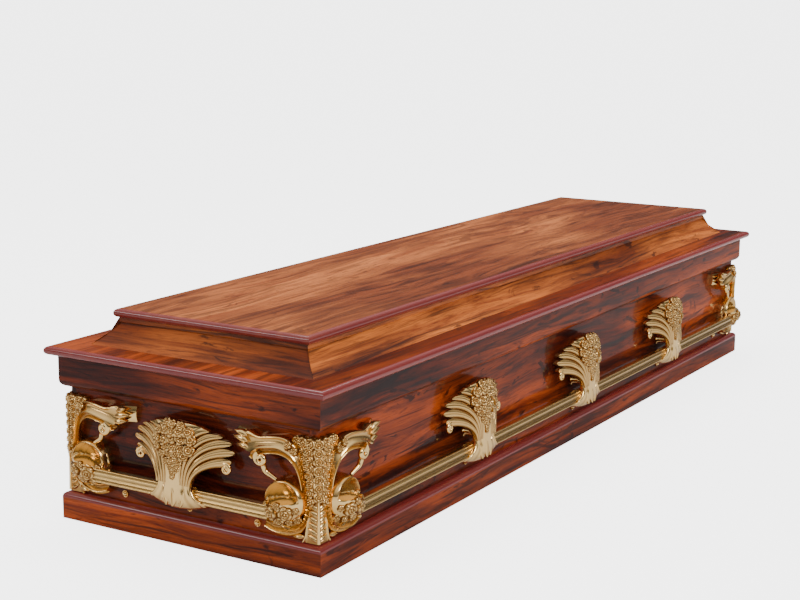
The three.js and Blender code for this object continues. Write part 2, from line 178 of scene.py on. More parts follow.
# %% [markdown]
# A finished piece is a mesh whose points are already in their place on the coffin. It rides on the frame's
# root, it names the faceted nodes that it replaces, and it says which kind of material it wears.

# %% A finished piece
def make_piece(name, points, faces, material, replaced, sharp):
    """Makes the mesh in metres, shades it smooth but for its sharp edges, and gives it its place."""
    mesh = bpy.data.meshes.new(name)
    mesh.from_pydata((points * MM).tolist(), [], faces.tolist())
    mesh.validate()
    mesh.polygons.foreach_set("use_smooth", np.ones(len(mesh.polygons), bool))
    mesh.set_sharp_from_angle(angle=math.radians(sharp))
    mesh.materials.append(material)
    piece = bpy.data.objects.new(name, mesh)
    bpy.context.scene.collection.objects.link(piece)
    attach(piece, "root")
    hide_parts(*replaced)
    return piece


# %% [markdown]
# ## The camera
# The camera's place and direction were solved from the coffin's straight edges and corners, taking
# the plinth as two metres long. Its lens follows from the same fit, for a frame 800 pixels wide.

# %% Camera
CAMERA_PLACE = (-3.0967, -1.7056, 0.9790)
CAMERA_YAW = 0.5445
CAMERA_DIP = 0.1974
CAMERA_ROLL = 0.0082
FOCAL_PIXELS = 1605.9
FRAME_PIXELS = 800
SENSOR = 36.0


def aim_camera():
    """The view direction from yaw and dip, then right and up vectors turned by the roll."""
    flat = math.cos(CAMERA_DIP)
    ahead = Vector((math.cos(CAMERA_YAW) * flat, math.sin(CAMERA_YAW) * flat, -math.sin(CAMERA_DIP)))
    level = Vector((math.sin(CAMERA_YAW), -math.cos(CAMERA_YAW), 0))
    upright = level.cross(ahead)
    right = level * math.cos(CAMERA_ROLL) + upright * math.sin(CAMERA_ROLL)
    up = upright * math.cos(CAMERA_ROLL) - level * math.sin(CAMERA_ROLL)
    data = bpy.data.cameras.new("camera")
    data.sensor_width = SENSOR
    data.lens = FOCAL_PIXELS / FRAME_PIXELS * SENSOR
    data.clip_end = 500
    camera = bpy.data.objects.new("camera", data)
    turn = Matrix((right, up, -ahead)).transposed().to_4x4()
    camera.matrix_world = Matrix.Translation(CAMERA_PLACE) @ turn
    bpy.context.scene.collection.objects.link(camera)
    bpy.context.scene.camera = camera
    return camera


print("lens", round(aim_camera().data.lens, 2), "mm")

# %% [markdown]
# ## Figured wood under lacquer
# The boards are a red-brown wood with black streaks, knots and lighter orange zones, under a thick
# clear gloss coat. The figure could be painted on, but a procedural grain follows every board at the
# right scale. Grain is noise stretched along the board: a slow noise first bends the lines, so that
# they wander round knots, and finer noises add streaks and pores. It is one node group with named
# inputs, so each board sets its own colours and its own place in the wood.


# %% Helpers for shader nodes
def node(tree, kind, place, **values):
    """Adds a node at a place and sets its properties."""
    made = tree.nodes.new(kind)
    made.location = place
    for key, value in values.items():
        setattr(made, key, value)
    return made


def math_node(tree, operation, first, second, place):
    """A Math node whose inputs are sockets or numbers."""
    made = node(tree, "ShaderNodeMath", place, operation=operation)
    for slot, value in zip(made.inputs, (first, second)):
        if isinstance(value, (int, float)):
            slot.default_value = value
        else:
            tree.links.new(value, slot)
    return made.outputs[0]


def noise_node(tree, vector, scale, detail, rough, place, distortion=0.0):
    """A Noise texture read at a vector; gives its value socket."""
    made = node(tree, "ShaderNodeTexNoise", place)
    made.inputs["Scale"].default_value = scale
    made.inputs["Detail"].default_value = detail
    made.inputs["Roughness"].default_value = rough
    made.inputs["Distortion"].default_value = distortion
    tree.links.new(vector, made.inputs["Vector"])
    return made.outputs["Fac"]


def ramp_node(tree, value, stops, place):
    """A colour ramp from (position, grey) stops, used as a curve; gives its colour socket."""
    made = node(tree, "ShaderNodeValToRGB", place)
    ramp = made.color_ramp
    while len(ramp.elements) < len(stops):
        ramp.elements.new(1.0)
    for element, (position, grey) in zip(ramp.elements, stops):
        element.position = position
        element.color = (grey, grey, grey, 1)
    tree.links.new(value, made.inputs["Fac"])
    return made.outputs["Color"]


def mix_colour(tree, factor, first, second, place, blend="MIX"):
    """A colour Mix node; each input is a socket, a number or a colour."""
    made = node(tree, "ShaderNodeMix", place, data_type="RGBA", blend_type=blend)
    for label, value in {"Factor": factor, "A": first, "B": second}.items():
        slot = made.inputs[label]
        if isinstance(value, bpy.types.NodeSocket):
            tree.links.new(value, slot)
        else:
            slot.default_value = value
    return next(out for out in made.outputs if out.type == "RGBA")


def named_group(name, inputs, outputs):
    """An empty shader node group with its input and output nodes."""
    tree = bpy.data.node_groups.new(name, "ShaderNodeTree")
    for label, kind, default in inputs:
        made = tree.interface.new_socket(label, in_out="INPUT", socket_type=kind)
        if default is not None:
            made.default_value = default
    for label, kind in outputs:
        tree.interface.new_socket(label, in_out="OUTPUT", socket_type=kind)
    return tree, node(tree, "NodeGroupInput", (-1600, 0)), node(tree, "NodeGroupOutput", (1400, 0))


print("helpers:", [helper.__name__ for helper in (node, math_node, noise_node, ramp_node)])

# %% A node group for figured grain
GRAIN_WANDER = 0.085
PORE_SHARE = 0.35


def make_grain_group():
    """Noises stretched along the board and bent by a slow one: bands, dark streaks, zones, pores, knots."""
    tree, inside, outside = named_group("figured grain", [
        ("Grain", "NodeSocketVector", None),
        ("Dark", "NodeSocketColor", (0.02, 0.006, 0.004, 1)),
        ("Middle", "NodeSocketColor", (0.16, 0.035, 0.015, 1)),
        ("Light", "NodeSocketColor", (0.42, 0.14, 0.05, 1)),
        ("Zone Bias", "NodeSocketFloat", 0.5),
        ("Streaks", "NodeSocketFloat", 1.0),
        ("Bend", "NodeSocketFloat", 1.0),
    ], [("Color", "NodeSocketColor"), ("Height", "NodeSocketFloat"), ("Figure", "NodeSocketFloat")])
    links = tree.links
    slow = node(tree, "ShaderNodeVectorMath", (-1400, 200), operation="MULTIPLY")
    slow.inputs[1].default_value = (1.6, 6.0, 6.0)
    links.new(inside.outputs["Grain"], slow.inputs[0])
    wander = node(tree, "ShaderNodeTexNoise", (-1200, 200))
    wander.inputs["Scale"].default_value = 1.0
    wander.inputs["Detail"].default_value = 2.5
    links.new(slow.outputs[0], wander.inputs["Vector"])
    centred = node(tree, "ShaderNodeVectorMath", (-1000, 200), operation="SUBTRACT")
    centred.inputs[1].default_value = (0.5, 0.5, 0.5)
    links.new(wander.outputs["Color"], centred.inputs[0])
    bend = node(tree, "ShaderNodeVectorMath", (-800, 200), operation="SCALE")
    links.new(centred.outputs[0], bend.inputs[0])
    bend_size = math_node(tree, "MULTIPLY", inside.outputs["Bend"], GRAIN_WANDER, (-1000, 60))
    links.new(bend_size, bend.inputs["Scale"])
    bent = node(tree, "ShaderNodeVectorMath", (-600, 200), operation="ADD")
    links.new(inside.outputs["Grain"], bent.inputs[0])
    links.new(bend.outputs[0], bent.inputs[1])

    def stretched(along, across, place):
        """The bent grain vector, scaled less along the board than across it."""
        made = node(tree, "ShaderNodeVectorMath", place, operation="MULTIPLY")
        made.inputs[1].default_value = (along, across, across)
        links.new(bent.outputs[0], made.inputs[0])
        return made.outputs[0]

    bands = noise_node(tree, stretched(2.6, 46, (-400, 400)), 1.0, 6.0, 0.62, (-200, 400), 0.5)
    streaks = noise_node(tree, stretched(2.0, 60, (-400, 100)), 1.0, 5.0, 0.62, (-200, 100), 0.8)
    zones = noise_node(tree, stretched(1.6, 7.0, (-400, -200)), 1.0, 3.0, 0.5, (-200, -200))
    pores = noise_node(tree, stretched(22, 520, (-400, -500)), 1.0, 2.0, 0.6, (-200, -500))
    knots = noise_node(tree, stretched(7.0, 22, (-400, -800)), 1.0, 4.0, 0.55, (-200, -800), 2.2)

    bias = math_node(tree, "SUBTRACT", inside.outputs["Zone Bias"], 0.5, (-200, -350))
    shifted = math_node(tree, "ADD", zones, bias, (0, -250))
    zone_mask = ramp_node(tree, shifted, [(0.40, 0.0), (0.62, 1.0)], (200, -200))
    band_mask = ramp_node(tree, bands, [(0.36, 0.0), (0.46, 0.4), (0.54, 0.75), (0.64, 1.0)], (200, 400))
    streak_mask = ramp_node(tree, streaks, [(0.38, 1.0), (0.46, 0.35), (0.50, 0.0)], (200, 100))
    knot_mask = ramp_node(tree, knots, [(0.33, 1.0), (0.39, 0.0)], (200, -800))
    pore_mask = ramp_node(tree, pores, [(0.36, 1.0), (0.48, 0.0)], (200, -500))

    deep = mix_colour(tree, zone_mask, inside.outputs["Dark"], inside.outputs["Middle"], (500, 500))
    warm = mix_colour(tree, zone_mask, inside.outputs["Middle"], inside.outputs["Light"], (500, 300))
    banded = mix_colour(tree, band_mask, deep, warm, (700, 400))
    dark_share = math_node(tree, "MAXIMUM", streak_mask, knot_mask, (500, 0))
    dark_share = math_node(tree, "MULTIPLY", dark_share, inside.outputs["Streaks"], (700, 0))
    streaked = mix_colour(tree, dark_share, banded, inside.outputs["Dark"], (900, 300))
    pore_share = math_node(tree, "MULTIPLY", pore_mask, PORE_SHARE, (500, -500))
    pored = mix_colour(tree, pore_share, streaked, inside.outputs["Dark"], (1100, 300))
    links.new(pored, outside.inputs["Color"])
    links.new(bands, outside.inputs["Height"])
    links.new(zone_mask, outside.inputs["Figure"])
    return tree


grain_group = make_grain_group()
print("grain group nodes:", len(grain_group.nodes))


# %% [markdown]
# The grain's colour lies on a rough base, because the shine belongs to the lacquer: a clear coat on
# top of it. Rounded edges of the real boards are stained cherry red and carry more lacquer. The
# pieces store an *edge* value on their points, and the stain follows it.

# %% Wood materials
LACQUER = 0.28
STAIN = (0.115, 0.012, 0.012)
STAIN_SHARE = 0.88
EDGE_LACQUER = 0.65


def wood_material(name, along, colours, zone, streaks, bend, offset, coat=LACQUER, base_rough=0.5):
    """Lacquered wood: the grain's colour on a rough base under a clear coat; rounded edges are stained."""
    material = bpy.data.materials.new(name)
    material.use_nodes = True
    tree = material.node_tree
    shader = tree.nodes["Principled BSDF"]
    shader.inputs["Coat Weight"].default_value = coat
    shader.inputs["Coat Roughness"].default_value = 0.05
    shader.inputs["Coat IOR"].default_value = 1.5
    shader.inputs["Specular IOR Level"].default_value = 0.05
    coordinates = node(tree, "ShaderNodeTexCoord", (-900, 0))
    mapping = node(tree, "ShaderNodeMapping", (-700, 0))
    mapping.inputs["Location"].default_value = offset
    if along == "y":
        mapping.inputs["Rotation"].default_value = (0, 0, math.radians(90))
    tree.links.new(coordinates.outputs["Object"], mapping.inputs["Vector"])
    grain = node(tree, "ShaderNodeGroup", (-400, 0), node_tree=grain_group)
    tree.links.new(mapping.outputs[0], grain.inputs["Grain"])
    for label, colour in zip(("Dark", "Middle", "Light"), colours):
        grain.inputs[label].default_value = (*colour, 1)
    grain.inputs["Zone Bias"].default_value = zone
    grain.inputs["Streaks"].default_value = streaks
    grain.inputs["Bend"].default_value = bend
    edge = node(tree, "ShaderNodeAttribute", (-400, 300), attribute_name="edge")
    stain = math_node(tree, "MULTIPLY", edge.outputs["Fac"], STAIN_SHARE, (-200, 300))
    gloss = math_node(tree, "MULTIPLY_ADD", edge.outputs["Fac"], EDGE_LACQUER, (0, 500))
    gloss.node.inputs[2].default_value = coat
    tree.links.new(gloss, shader.inputs["Coat Weight"])
    stained = mix_colour(tree, stain, grain.outputs["Color"], (*STAIN, 1), (0, 200))
    tree.links.new(stained, shader.inputs["Base Color"])
    rough_stops = [(0.3, base_rough - 0.08), (0.7, base_rough + 0.08)]
    rough = ramp_node(tree, grain.outputs["Height"], rough_stops, (-100, -200))
    tree.links.new(rough, shader.inputs["Roughness"])
    bump = node(tree, "ShaderNodeBump", (-100, -450))
    bump.inputs["Strength"].default_value = 0.04
    bump.inputs["Distance"].default_value = 0.001
    tree.links.new(grain.outputs["Height"], bump.inputs["Height"])
    tree.links.new(bump.outputs["Normal"], shader.inputs["Normal"])
    return material


WALL_COLOURS = ((0.006, 0.001, 0.001), (0.100, 0.011, 0.002), (0.40, 0.062, 0.007))
EDGE_COLOURS = ((0.008, 0.001, 0.001), (0.100, 0.012, 0.002), (0.34, 0.058, 0.007))
SLOPE_COLOURS = ((0.012, 0.002, 0.001), (0.190, 0.032, 0.004), (0.58, 0.150, 0.022))
TOP_COLOURS = ((0.025, 0.005, 0.002), (0.175, 0.038, 0.010), (0.46, 0.140, 0.038))
BOARD_COLOURS = ((0.30, 0.19, 0.10), (0.52, 0.38, 0.22), (0.66, 0.50, 0.32))

# A cut of wood: its colours, the bias to light zones along x and along y, its streaks and its bend
CUTS = {
    "wall": (WALL_COLOURS, {"x": 0.48, "y": 0.48}, 0.85, 1.0),
    "plinth": (WALL_COLOURS, {"x": 0.50, "y": 0.50}, 0.8, 0.7),
    "rim": (WALL_COLOURS, {"x": 0.45, "y": 0.45}, 0.85, 0.8),
    # The end slopes, along y, get a lower bias to light zones: painted shade that makes them darker than the
    # side slopes
    "slope": (SLOPE_COLOURS, {"x": 0.55, "y": 0.42}, 0.75, 0.6),
}
woods = {}
for along, (log_x, log_y, log_z) in {"x": (0.3, 0.7, 0.1), "y": (1.9, 0.2, 0.6)}.items():
    for order, (cut, (colours, zones, streaks, bend)) in enumerate(CUTS.items()):
        place = (log_x + 3 * order, log_y, log_z + 2 * order)
        title = f"{cut} wood along {along}"
        woods[cut, along] = wood_material(title, along, colours, zones[along], streaks, bend, place)
woods["edge"] = wood_material("flange wood", "x", EDGE_COLOURS, 0.5, 0.7, 0.6, (4.0, 2.0, 1.0))
woods["top"] = wood_material("top board wood", "x", TOP_COLOURS, 0.52, 0.6, 1.3, (7.0, 5.0, 3.0))
woods["board"] = wood_material("plain inner board", "x", BOARD_COLOURS, 0.5, 0.25, 0.6, (2.0, 8.0, 5.0),
                               coat=0.0, base_rough=0.6)
print("wood materials:", len(woods))

# %% [markdown]
# ## Wall and floor boards
# The plain boards are flat, so the frame's own solids are already right. They only get their wood.

# %% Dress the boards
BOARDS = {
    "side_board_front": ("wall", "x"), "side_board_back": ("wall", "x"),
    "end_board_left": ("wall", "y"), "end_board_right": ("wall", "y"),
    "floor_board": "board",
}
for board_name, wood in BOARDS.items():
    board_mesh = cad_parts[board_name].data
    board_mesh.materials.clear()
    board_mesh.materials.append(woods[wood])
print("boards dressed:", len(BOARDS))

# %% [markdown]
# ## Mouldings
# A moulding is one profile run along a side and cut at 45 degrees where it meets the next. On a
# router the round edge is a true arc, so here each profile is drawn with fine arcs and carried
# between its two mitres. A profile point is a distance out from the plinth's face and a height.


# %% Profiles and mitred runs
def arc(centre, radius, start, stop, count=13):
    """Points on a circle's arc between two angles in degrees."""
    angle = np.radians(np.linspace(start, stop, count))
    return np.stack([centre[0] + radius * np.cos(angle), centre[1] + radius * np.sin(angle)], axis=-1)


def profile_body(profile, place_start, place_end):
    """A closed body from a profile carried between two ends. An odd profile gets one point more."""
    profile = np.asarray(profile, float)
    if len(profile) % 2:
        middle = (profile[-1] + profile[0]) / 2
        profile = np.concatenate([profile, middle[None]])
    return pod(np.stack([place_start(profile), place_end(profile)]))


def mitred_run(side, profile):
    """One side's run: its ends lie on the corner diagonals."""
    def end(sign):
        def place(points):
            out, up = points[:, 0], points[:, 1]
            long, wide = half_length + out, half_width + out
            x, y = {
                "front": (sign * long, -wide),
                "back": (sign * long, wide),
                "left": (-long, sign * wide),
                "right": (long, sign * wide),
            }[side]
            return np.stack([x, y, up], axis=-1)
        return place
    return profile_body(profile, end(-1), end(1))


def add_edge(piece, is_edge):
    """Stores 1 on the points where the test of (distance out from the plinth, height) holds, else 0."""
    points = np.array([point.co for point in piece.data.vertices]) / MM
    out = np.maximum(np.abs(points[:, 0]) - half_length, np.abs(points[:, 1]) - half_width)
    layer = piece.data.attributes.new("edge", "FLOAT", "POINT")
    layer.data.foreach_set("value", is_edge(out, points[:, 2]).astype(np.float32))


SIDES = ("front", "back", "left", "right")
GRAIN_OF = {"front": "x", "back": "x", "left": "y", "right": "y"}
MOULDING_THICK = half_width - wall_y
PLINTH_ROUND = 9.0
RIM_ROUND = 13.0
EDGE_FADE = 1.5
EDGE_SLACK = 0.1
BOARD_SHARP = 30
plinth_profile = np.concatenate([
    [[-MOULDING_THICK, 0], [0, 0], [0, plinth_height - PLINTH_ROUND - EDGE_FADE]],
    arc((-PLINTH_ROUND, plinth_height - PLINTH_ROUND), PLINTH_ROUND, 0, 90),
    [[-MOULDING_THICK, plinth_height]],
])
rim_profile = np.concatenate([
    [[-MOULDING_THICK, rim_low[2]]],
    arc((-RIM_ROUND, rim_low[2] + RIM_ROUND), RIM_ROUND, 270, 360),
    [[0, rim_high[2]], [-MOULDING_THICK, rim_high[2]]],
])
for side in SIDES:
    along = GRAIN_OF[side]
    points, faces = mitred_run(side, plinth_profile)
    plinth = make_piece(f"plinth_run_{side}", points, faces, woods["plinth", along],
                        [f"plinth_{side}"], BOARD_SHARP)
    add_edge(plinth, lambda out, up: up > plinth_height - PLINTH_ROUND - EDGE_SLACK)
    points, faces = mitred_run(side, rim_profile)
    make_piece(f"rim_run_{side}", points, faces, woods["rim", along],
               [f"rim_moulding_{side}"], BOARD_SHARP)
print("mouldings:", 2 * len(SIDES))

# %% [markdown]
# ## The lid
# The flange is one sheet with a half-round nose, with a hole under the raised part. The four slopes
# are hollow in section, like a shallow cove, and the top board has a half-round nose again.

# %% Boards with a shaped edge and the cove
SLOPE_BOARD = 15.0
COVE_DEPTH = 2.4
FILLET_STEP = 2.0
FILLET_HEIGHT = 10.0
nose = (flange_high[2] - flange_low[2]) / 2
flange_out = flange_high[0] - half_length
slope_foot = slope_high[0] - half_length
slope_head = slope_foot - (slope_high[1] - slope_low[1] - SLOPE_BOARD)
slope_top = slope_high[2] - FILLET_HEIGHT
inner_edge = slope_foot - SLOPE_BOARD
PLAN_CORNERS = np.array([[-1, -1], [1, -1], [1, 1], [-1, 1]])


def round_profile_body(profile):
    """A profile carried once round the coffin's four corners and closed on itself."""
    reach = np.stack([half_length + profile[:, 0], half_width + profile[:, 0]], axis=-1)
    plan = PLAN_CORNERS[:, None] * reach[None]
    heights = np.broadcast_to(profile[None, :, 1:], (4, len(profile), 1))
    points = np.concatenate([plan, heights], axis=-1)
    faces = grid_faces(5, len(profile), wrap=True) % (4 * len(profile))
    return outward(points.reshape(-1, 3), faces)


def board_body(edge):
    """A board with a shaped edge: the edge's points at the four corners, with flat faces above and below."""
    reach = np.stack([half_length + edge[:, 0], half_width + edge[:, 0]], axis=-1)
    plan = PLAN_CORNERS[None] * reach[:, None]
    heights = np.broadcast_to(edge[:, None, 1:], (len(edge), 4, 1))
    points = np.concatenate([plan, heights], axis=-1).reshape(-1, 3)
    top = (len(edge) - 1) * 4
    flats = np.array([[3, 2, 1, 0], [top, top + 1, top + 2, top + 3]])
    return outward(points, np.concatenate([grid_faces(len(edge), 4, wrap=True), flats]))


def cove(count=17):
    """An arc whose middle hangs below the straight line from the slope's foot to its head."""
    run, rise = slope_foot - slope_head, slope_top - slope_low[2]
    chord = math.hypot(run, rise)
    share = np.linspace(0, 1, count)
    sag = 4 * COVE_DEPTH * share * (1 - share)
    out = slope_foot - share * run - sag * rise / chord
    up = slope_low[2] + share * rise - sag * run / chord
    return np.stack([out, up], axis=-1)


print("cove from", cove()[0].round(1), "to", cove()[-1].round(1))

# %% The flange
flange_profile = np.concatenate([
    [[inner_edge, flange_low[2]], [flange_out - nose - EDGE_FADE, flange_low[2]]],
    arc((flange_out - nose, flange_low[2] + nose), nose, -90, 90, 17),
    [[flange_out - nose - EDGE_FADE, flange_high[2]], [inner_edge, flange_high[2]]],
])
points, faces = round_profile_body(flange_profile)
flange = make_piece("flange_board", points, faces, woods["edge"], ["lid_flange"], BOARD_SHARP)
add_edge(flange, lambda out, up: out > flange_out - nose - EDGE_SLACK)
print("flange faces:", len(faces))

# %% The slopes and the top board
fillet = slope_head + FILLET_STEP
slope_profile = np.concatenate([
    cove(),
    [[fillet, slope_top + FILLET_STEP], [fillet, slope_high[2]], [slope_head - SLOPE_BOARD, slope_high[2]],
     [slope_head - SLOPE_BOARD, slope_top], [inner_edge, slope_low[2]]],
])
for side in SIDES:
    points, faces = mitred_run(side, slope_profile)
    make_piece(f"slope_run_{side}", points, faces, woods["slope", GRAIN_OF[side]],
               [f"lid_slope_{side}"], BOARD_SHARP)

top_nose = (top_high[2] - top_low[2]) / 2
top_out = top_high[0] - half_length - top_nose
top_edge = np.concatenate([
    [[top_out - EDGE_FADE, top_low[2]]],
    arc((top_out, top_low[2] + top_nose), top_nose, -90, 90, 17),
    [[top_out - EDGE_FADE, top_high[2]]],
])
points, faces = board_body(top_edge)
top_piece = make_piece("top_board", points, faces, woods["top"], ["lid_top_board"], BOARD_SHARP)
add_edge(top_piece, lambda out, up: out > top_out - EDGE_SLACK)
print("lid pieces:", 2 + len(SIDES))

# %% [markdown]
# ## Gilt metal
# The castings are bright gilt, with painted shade in the hollows, where the gold is mixed towards a dark
# brown. Each casting carries a value of painted shade on its points, 0 on the high forms and 1 in the
# hollows, and the material darkens the gold by it as painted shade, and roughens it.


# %% Gold materials
def gold_material(name, bright, deep, rough_high, rough_low):
    """Polished metal darkened and roughened by the points' painted shade in the hollows, with a faint mottle.
    """
    material = bpy.data.materials.new(name)
    material.use_nodes = True
    tree = material.node_tree
    shader = tree.nodes["Principled BSDF"]
    shader.inputs["Metallic"].default_value = 1.0
    painted_shade = node(tree, "ShaderNodeAttribute", (-900, 0), attribute_name="painted_shade")
    coordinates = node(tree, "ShaderNodeTexCoord", (-900, -300))
    mottle = noise_node(tree, coordinates.outputs["Object"], 60.0, 3.0, 0.5, (-700, -300))
    faint = math_node(tree, "MULTIPLY", mottle, 0.12, (-500, -300))
    # Painted shade: the hollows' value, with a faint mottle, mixes the gold towards the dark colour
    shade_and_mottle = math_node(tree, "ADD", painted_shade.outputs["Fac"], faint, (-300, 0))
    colour = mix_colour(tree, shade_and_mottle, (*bright, 1), (*deep, 1), (-100, 100))
    tree.links.new(colour, shader.inputs["Base Color"])
    rough = ramp_node(tree, shade_and_mottle, [(0.0, rough_high), (1.0, rough_low)], (-100, -200))
    tree.links.new(rough, shader.inputs["Roughness"])
    return material


# The second colour of each metal is the painted shade of its hollows
gold = gold_material("gilt casting", (1.0, 0.67, 0.27), (0.23, 0.085, 0.012), 0.10, 0.34)
bar_gold = gold_material("antique gilt bar", (0.74, 0.48, 0.18), (0.12, 0.060, 0.014), 0.2, 0.36)
print("metals:", gold.name, bar_gold.name)

# %% [markdown]
# ## Grip bars
# The bars are drawn tube, reeded along their front: shallow grooves between rounded ribs. The section
# is a rounded rectangle whose front face is pushed in along three unequal grooves.

# %% Bars
REED_GROOVES = (8.8, 1.0, -6.8)
REED_WIDTH = 1.9
REED_DEPTH = 2.6
# How dark the painted shade in the reed grooves is
REED_PAINTED_SHADE = 0.8
BAR_SHARP = 40


def bell(value, centre, width):
    """A smooth rise, one high at the centre, that fades over the width on both sides."""
    return np.exp(-((value - centre) / width) ** 2)


def bar_section(count=120):
    """A rounded rectangle, a circle's points to the power 2/5 on each axis, with bell-shaped grooves."""
    turn = np.linspace(0, 2 * np.pi, count, endpoint=False)
    half_out, half_up = bar_front - bar_out, bar_high[2] - bar_z
    out = np.sign(np.cos(turn)) * np.abs(np.cos(turn)) ** 0.4 * half_out
    up = np.sign(np.sin(turn)) * np.abs(np.sin(turn)) ** 0.4 * half_up
    on_front = np.cos(turn) > 0.35
    hollow = sum(bell(up, groove, REED_WIDTH) for groove in REED_GROOVES) * on_front
    return out - REED_DEPTH * hollow * (np.abs(up) < half_up * 0.98), up, hollow


WALL_SIGN = {"front": 1, "back": -1, "left": -1, "right": 1}


def on_wall(side, along, out, up):
    """Turns a wall's own measures (along, out, up) into the coffin's frame."""
    sign = WALL_SIGN[side]
    if GRAIN_OF[side] == "x":
        return np.stack([sign * along, -sign * (wall_y + out), up], axis=-1)
    return np.stack([sign * (wall_x + out), sign * along, up], axis=-1)


def wall_place(node_name, side):
    """Where the middle of a node stands along its wall, how far it reaches to each side, and its height."""
    low, high = extent(node_name)
    axis = "xy".index(GRAIN_OF[side])
    middle = WALL_SIGN[side] * ((low + high) / 2)[axis]
    return middle, (high[axis] - low[axis]) / 2, (low[2] + high[2]) / 2


def add_painted_shade(piece, painted_shade):
    """Stores the painted shade of the hollows on the piece's points, 0 on high forms and 1 in hollows."""
    layer = piece.data.attributes.new("painted_shade", "FLOAT", "POINT")
    layer.data.foreach_set("value", np.clip(painted_shade, 0, 1).astype(np.float32))


for side in SIDES:
    half_span = wall_place(f"grip_bar_{side}", side)[1]
    section_out, section_up, section_hollow = bar_section()
    spans = np.array([-half_span, half_span])[:, None] * np.ones(len(section_out))
    rings = on_wall(side, spans, np.tile(bar_out + section_out, (2, 1)), np.tile(bar_z + section_up, (2, 1)))
    points, faces = pod(rings)
    bar_piece = make_piece(f"reeded_bar_{side}", points, faces, bar_gold, [f"grip_bar_{side}"],
                           BAR_SHARP)
    # Painted shade in the grooves of the reeds
    add_painted_shade(bar_piece, np.concatenate([section_hollow, section_hollow, [0, 0]]) * REED_PAINTED_SHADE)
print("bars:", len(SIDES))

# %% [markdown]
# ## Carving kit
# The castings are built from a few carved forms, each a surface of two parameters: a rose, a leaf, a
# spiral curl, and sheets with hollows along them. They are drawn on a wall laid flat: along the wall,
# out of it, and up. Every form also gives its values of painted shade, which darken its hollows.

# %% A rose
SEAT = 0.3
NO_PAINTED_SHADE = np.zeros(0)


def with_painted_shade(body, painted_shade):
    """A body and its values of painted shade in the hollows, with zeros for the points that have none."""
    points, faces = body
    values = np.zeros(len(points))
    values[:painted_shade.size] = painted_shade.ravel()
    return points, faces, values


def frame_of(normal):
    """Two directions square to a normal and to each other, the second as near up as can be."""
    normal = np.asarray(normal, float)
    normal = normal / np.linalg.norm(normal)
    side = np.cross([0.0, 0.0, 1.0], normal)
    side /= np.linalg.norm(side)
    return side, np.cross(normal, side), normal


ROSE_RINGS = (1.0, 1.0, 0.92, 0.84, 0.75, 0.66, 0.57, 0.48, 0.39, 0.3, 0.22, 0.13, 0.05)


def rose(centre, radius, rise, turn=0.0, normal=(0, 1, 0), sides=30):
    """A flower: a flat dome with bell-shaped rises for five outer petals, five inner ones and a bud."""
    share = np.array(ROSE_RINGS)[:, None]
    angle = np.linspace(0, 2 * np.pi, sides, endpoint=False)[None, :]
    outer = np.abs(np.cos(2.5 * angle + turn)) ** 0.6
    inner = np.abs(np.sin(2.5 * angle + turn)) ** 0.6
    lobe = 0.80 + 0.24 * share**2 * outer + 0.06 * (1 - share)
    bud = 0.36 * bell(share, 0, 0.15)
    petals = 0.34 * bell(share, 0.82, 0.13) * outer + 0.40 * bell(share, 0.45, 0.11) * inner + bud
    height = rise * (0.75 * np.sqrt(np.clip(1.02 - share**2, 0, 1)) + petals)
    height[0] = -rise
    across, upward, ahead = frame_of(normal)
    reach = radius * share * lobe
    rings = (np.asarray(centre, float) + (reach * np.cos(angle))[..., None] * across
             + (reach * np.sin(angle))[..., None] * upward + height[..., None] * ahead)
    # Painted shade between and below the petals, where they are low
    painted_shade = np.clip(1.15 - 3.6 * petals, 0, 1)
    return with_painted_shade(pod(rings), painted_shade)


print("faces of a rose:", len(rose((0, 0, 0), 8, 3)[1]))

# %% A leaf and a curl
def leaf(base, tip, width, rise, lift=0.0, count=13):
    """A pointed leaf: its half width swells as a sine from base to tip, and a vein is cut down its middle."""
    base, tip = np.asarray(base, float), np.asarray(tip, float)
    share = np.linspace(0, 1, count)[:, None]
    across = np.linspace(-1, 1, 11)[None, :]
    ahead = (tip - base)[[0, 2]] / max(np.linalg.norm((tip - base)[[0, 2]]), 1e-6)
    half = width / 2 * np.sin(np.pi * np.clip(share, 0.02, 0.985) ** 0.8)
    spine = base + share[..., None] * (tip - base)
    vein = bell(across, 0, 0.16)
    swell = np.sin(np.pi * np.clip(share, 0.05, 0.97)) ** 0.6
    crown = rise * ((1 - np.abs(across) ** 1.6) * swell - 0.35 * vein)
    along = spine[..., 0] - across * half * ahead[1]
    up = spine[..., 2] + across * half * ahead[0]
    out = spine[..., 1] + crown + lift * share**2
    front = np.stack([along, out, up], axis=-1)
    back = np.stack([along, out - rise - 1.5, up], axis=-1)
    # Painted shade along the cut vein and at the leaf's edges
    painted_shade = np.clip(0.9 * vein + 0.7 * (np.abs(across) > 0.85), 0, 1) * np.ones_like(along)
    return with_painted_shade(sheet(front, back), painted_shade)


def curl(centre, radius, turns, start, thick, hand=1, count=44):
    """A spiral rod: its radius shrinks evenly with the angle, and so does its thickness."""
    share = np.linspace(0, 1, count)
    angle = start + hand * 2 * np.pi * turns * share
    reach = radius * (1 - 0.78 * share)
    spiral = np.stack([reach * np.cos(angle), 1.5 * share, reach * np.sin(angle)], axis=-1)
    return with_painted_shade(tube(np.asarray(centre, float) + spiral, thick * (1 - 0.35 * share)), NO_PAINTED_SHADE)


print("faces of a leaf:", len(leaf((0, 0, 0), (0, 0, 20), 8, 3)[1]))

# %% Joining and placing carved forms
def gather_carved(parts):
    """Joins carved bodies and their values of painted shade into one list each."""
    points, faces = gather([(part[0], part[1]) for part in parts])
    return points, faces, np.concatenate([part[2] for part in parts])


def flip(part):
    """The mirror image of a body, left for right along the wall."""
    points, faces, painted_shade = part
    return points * np.array([-1, 1, 1]), faces[:, ::-1], painted_shade


CARVED_SHARP = 50


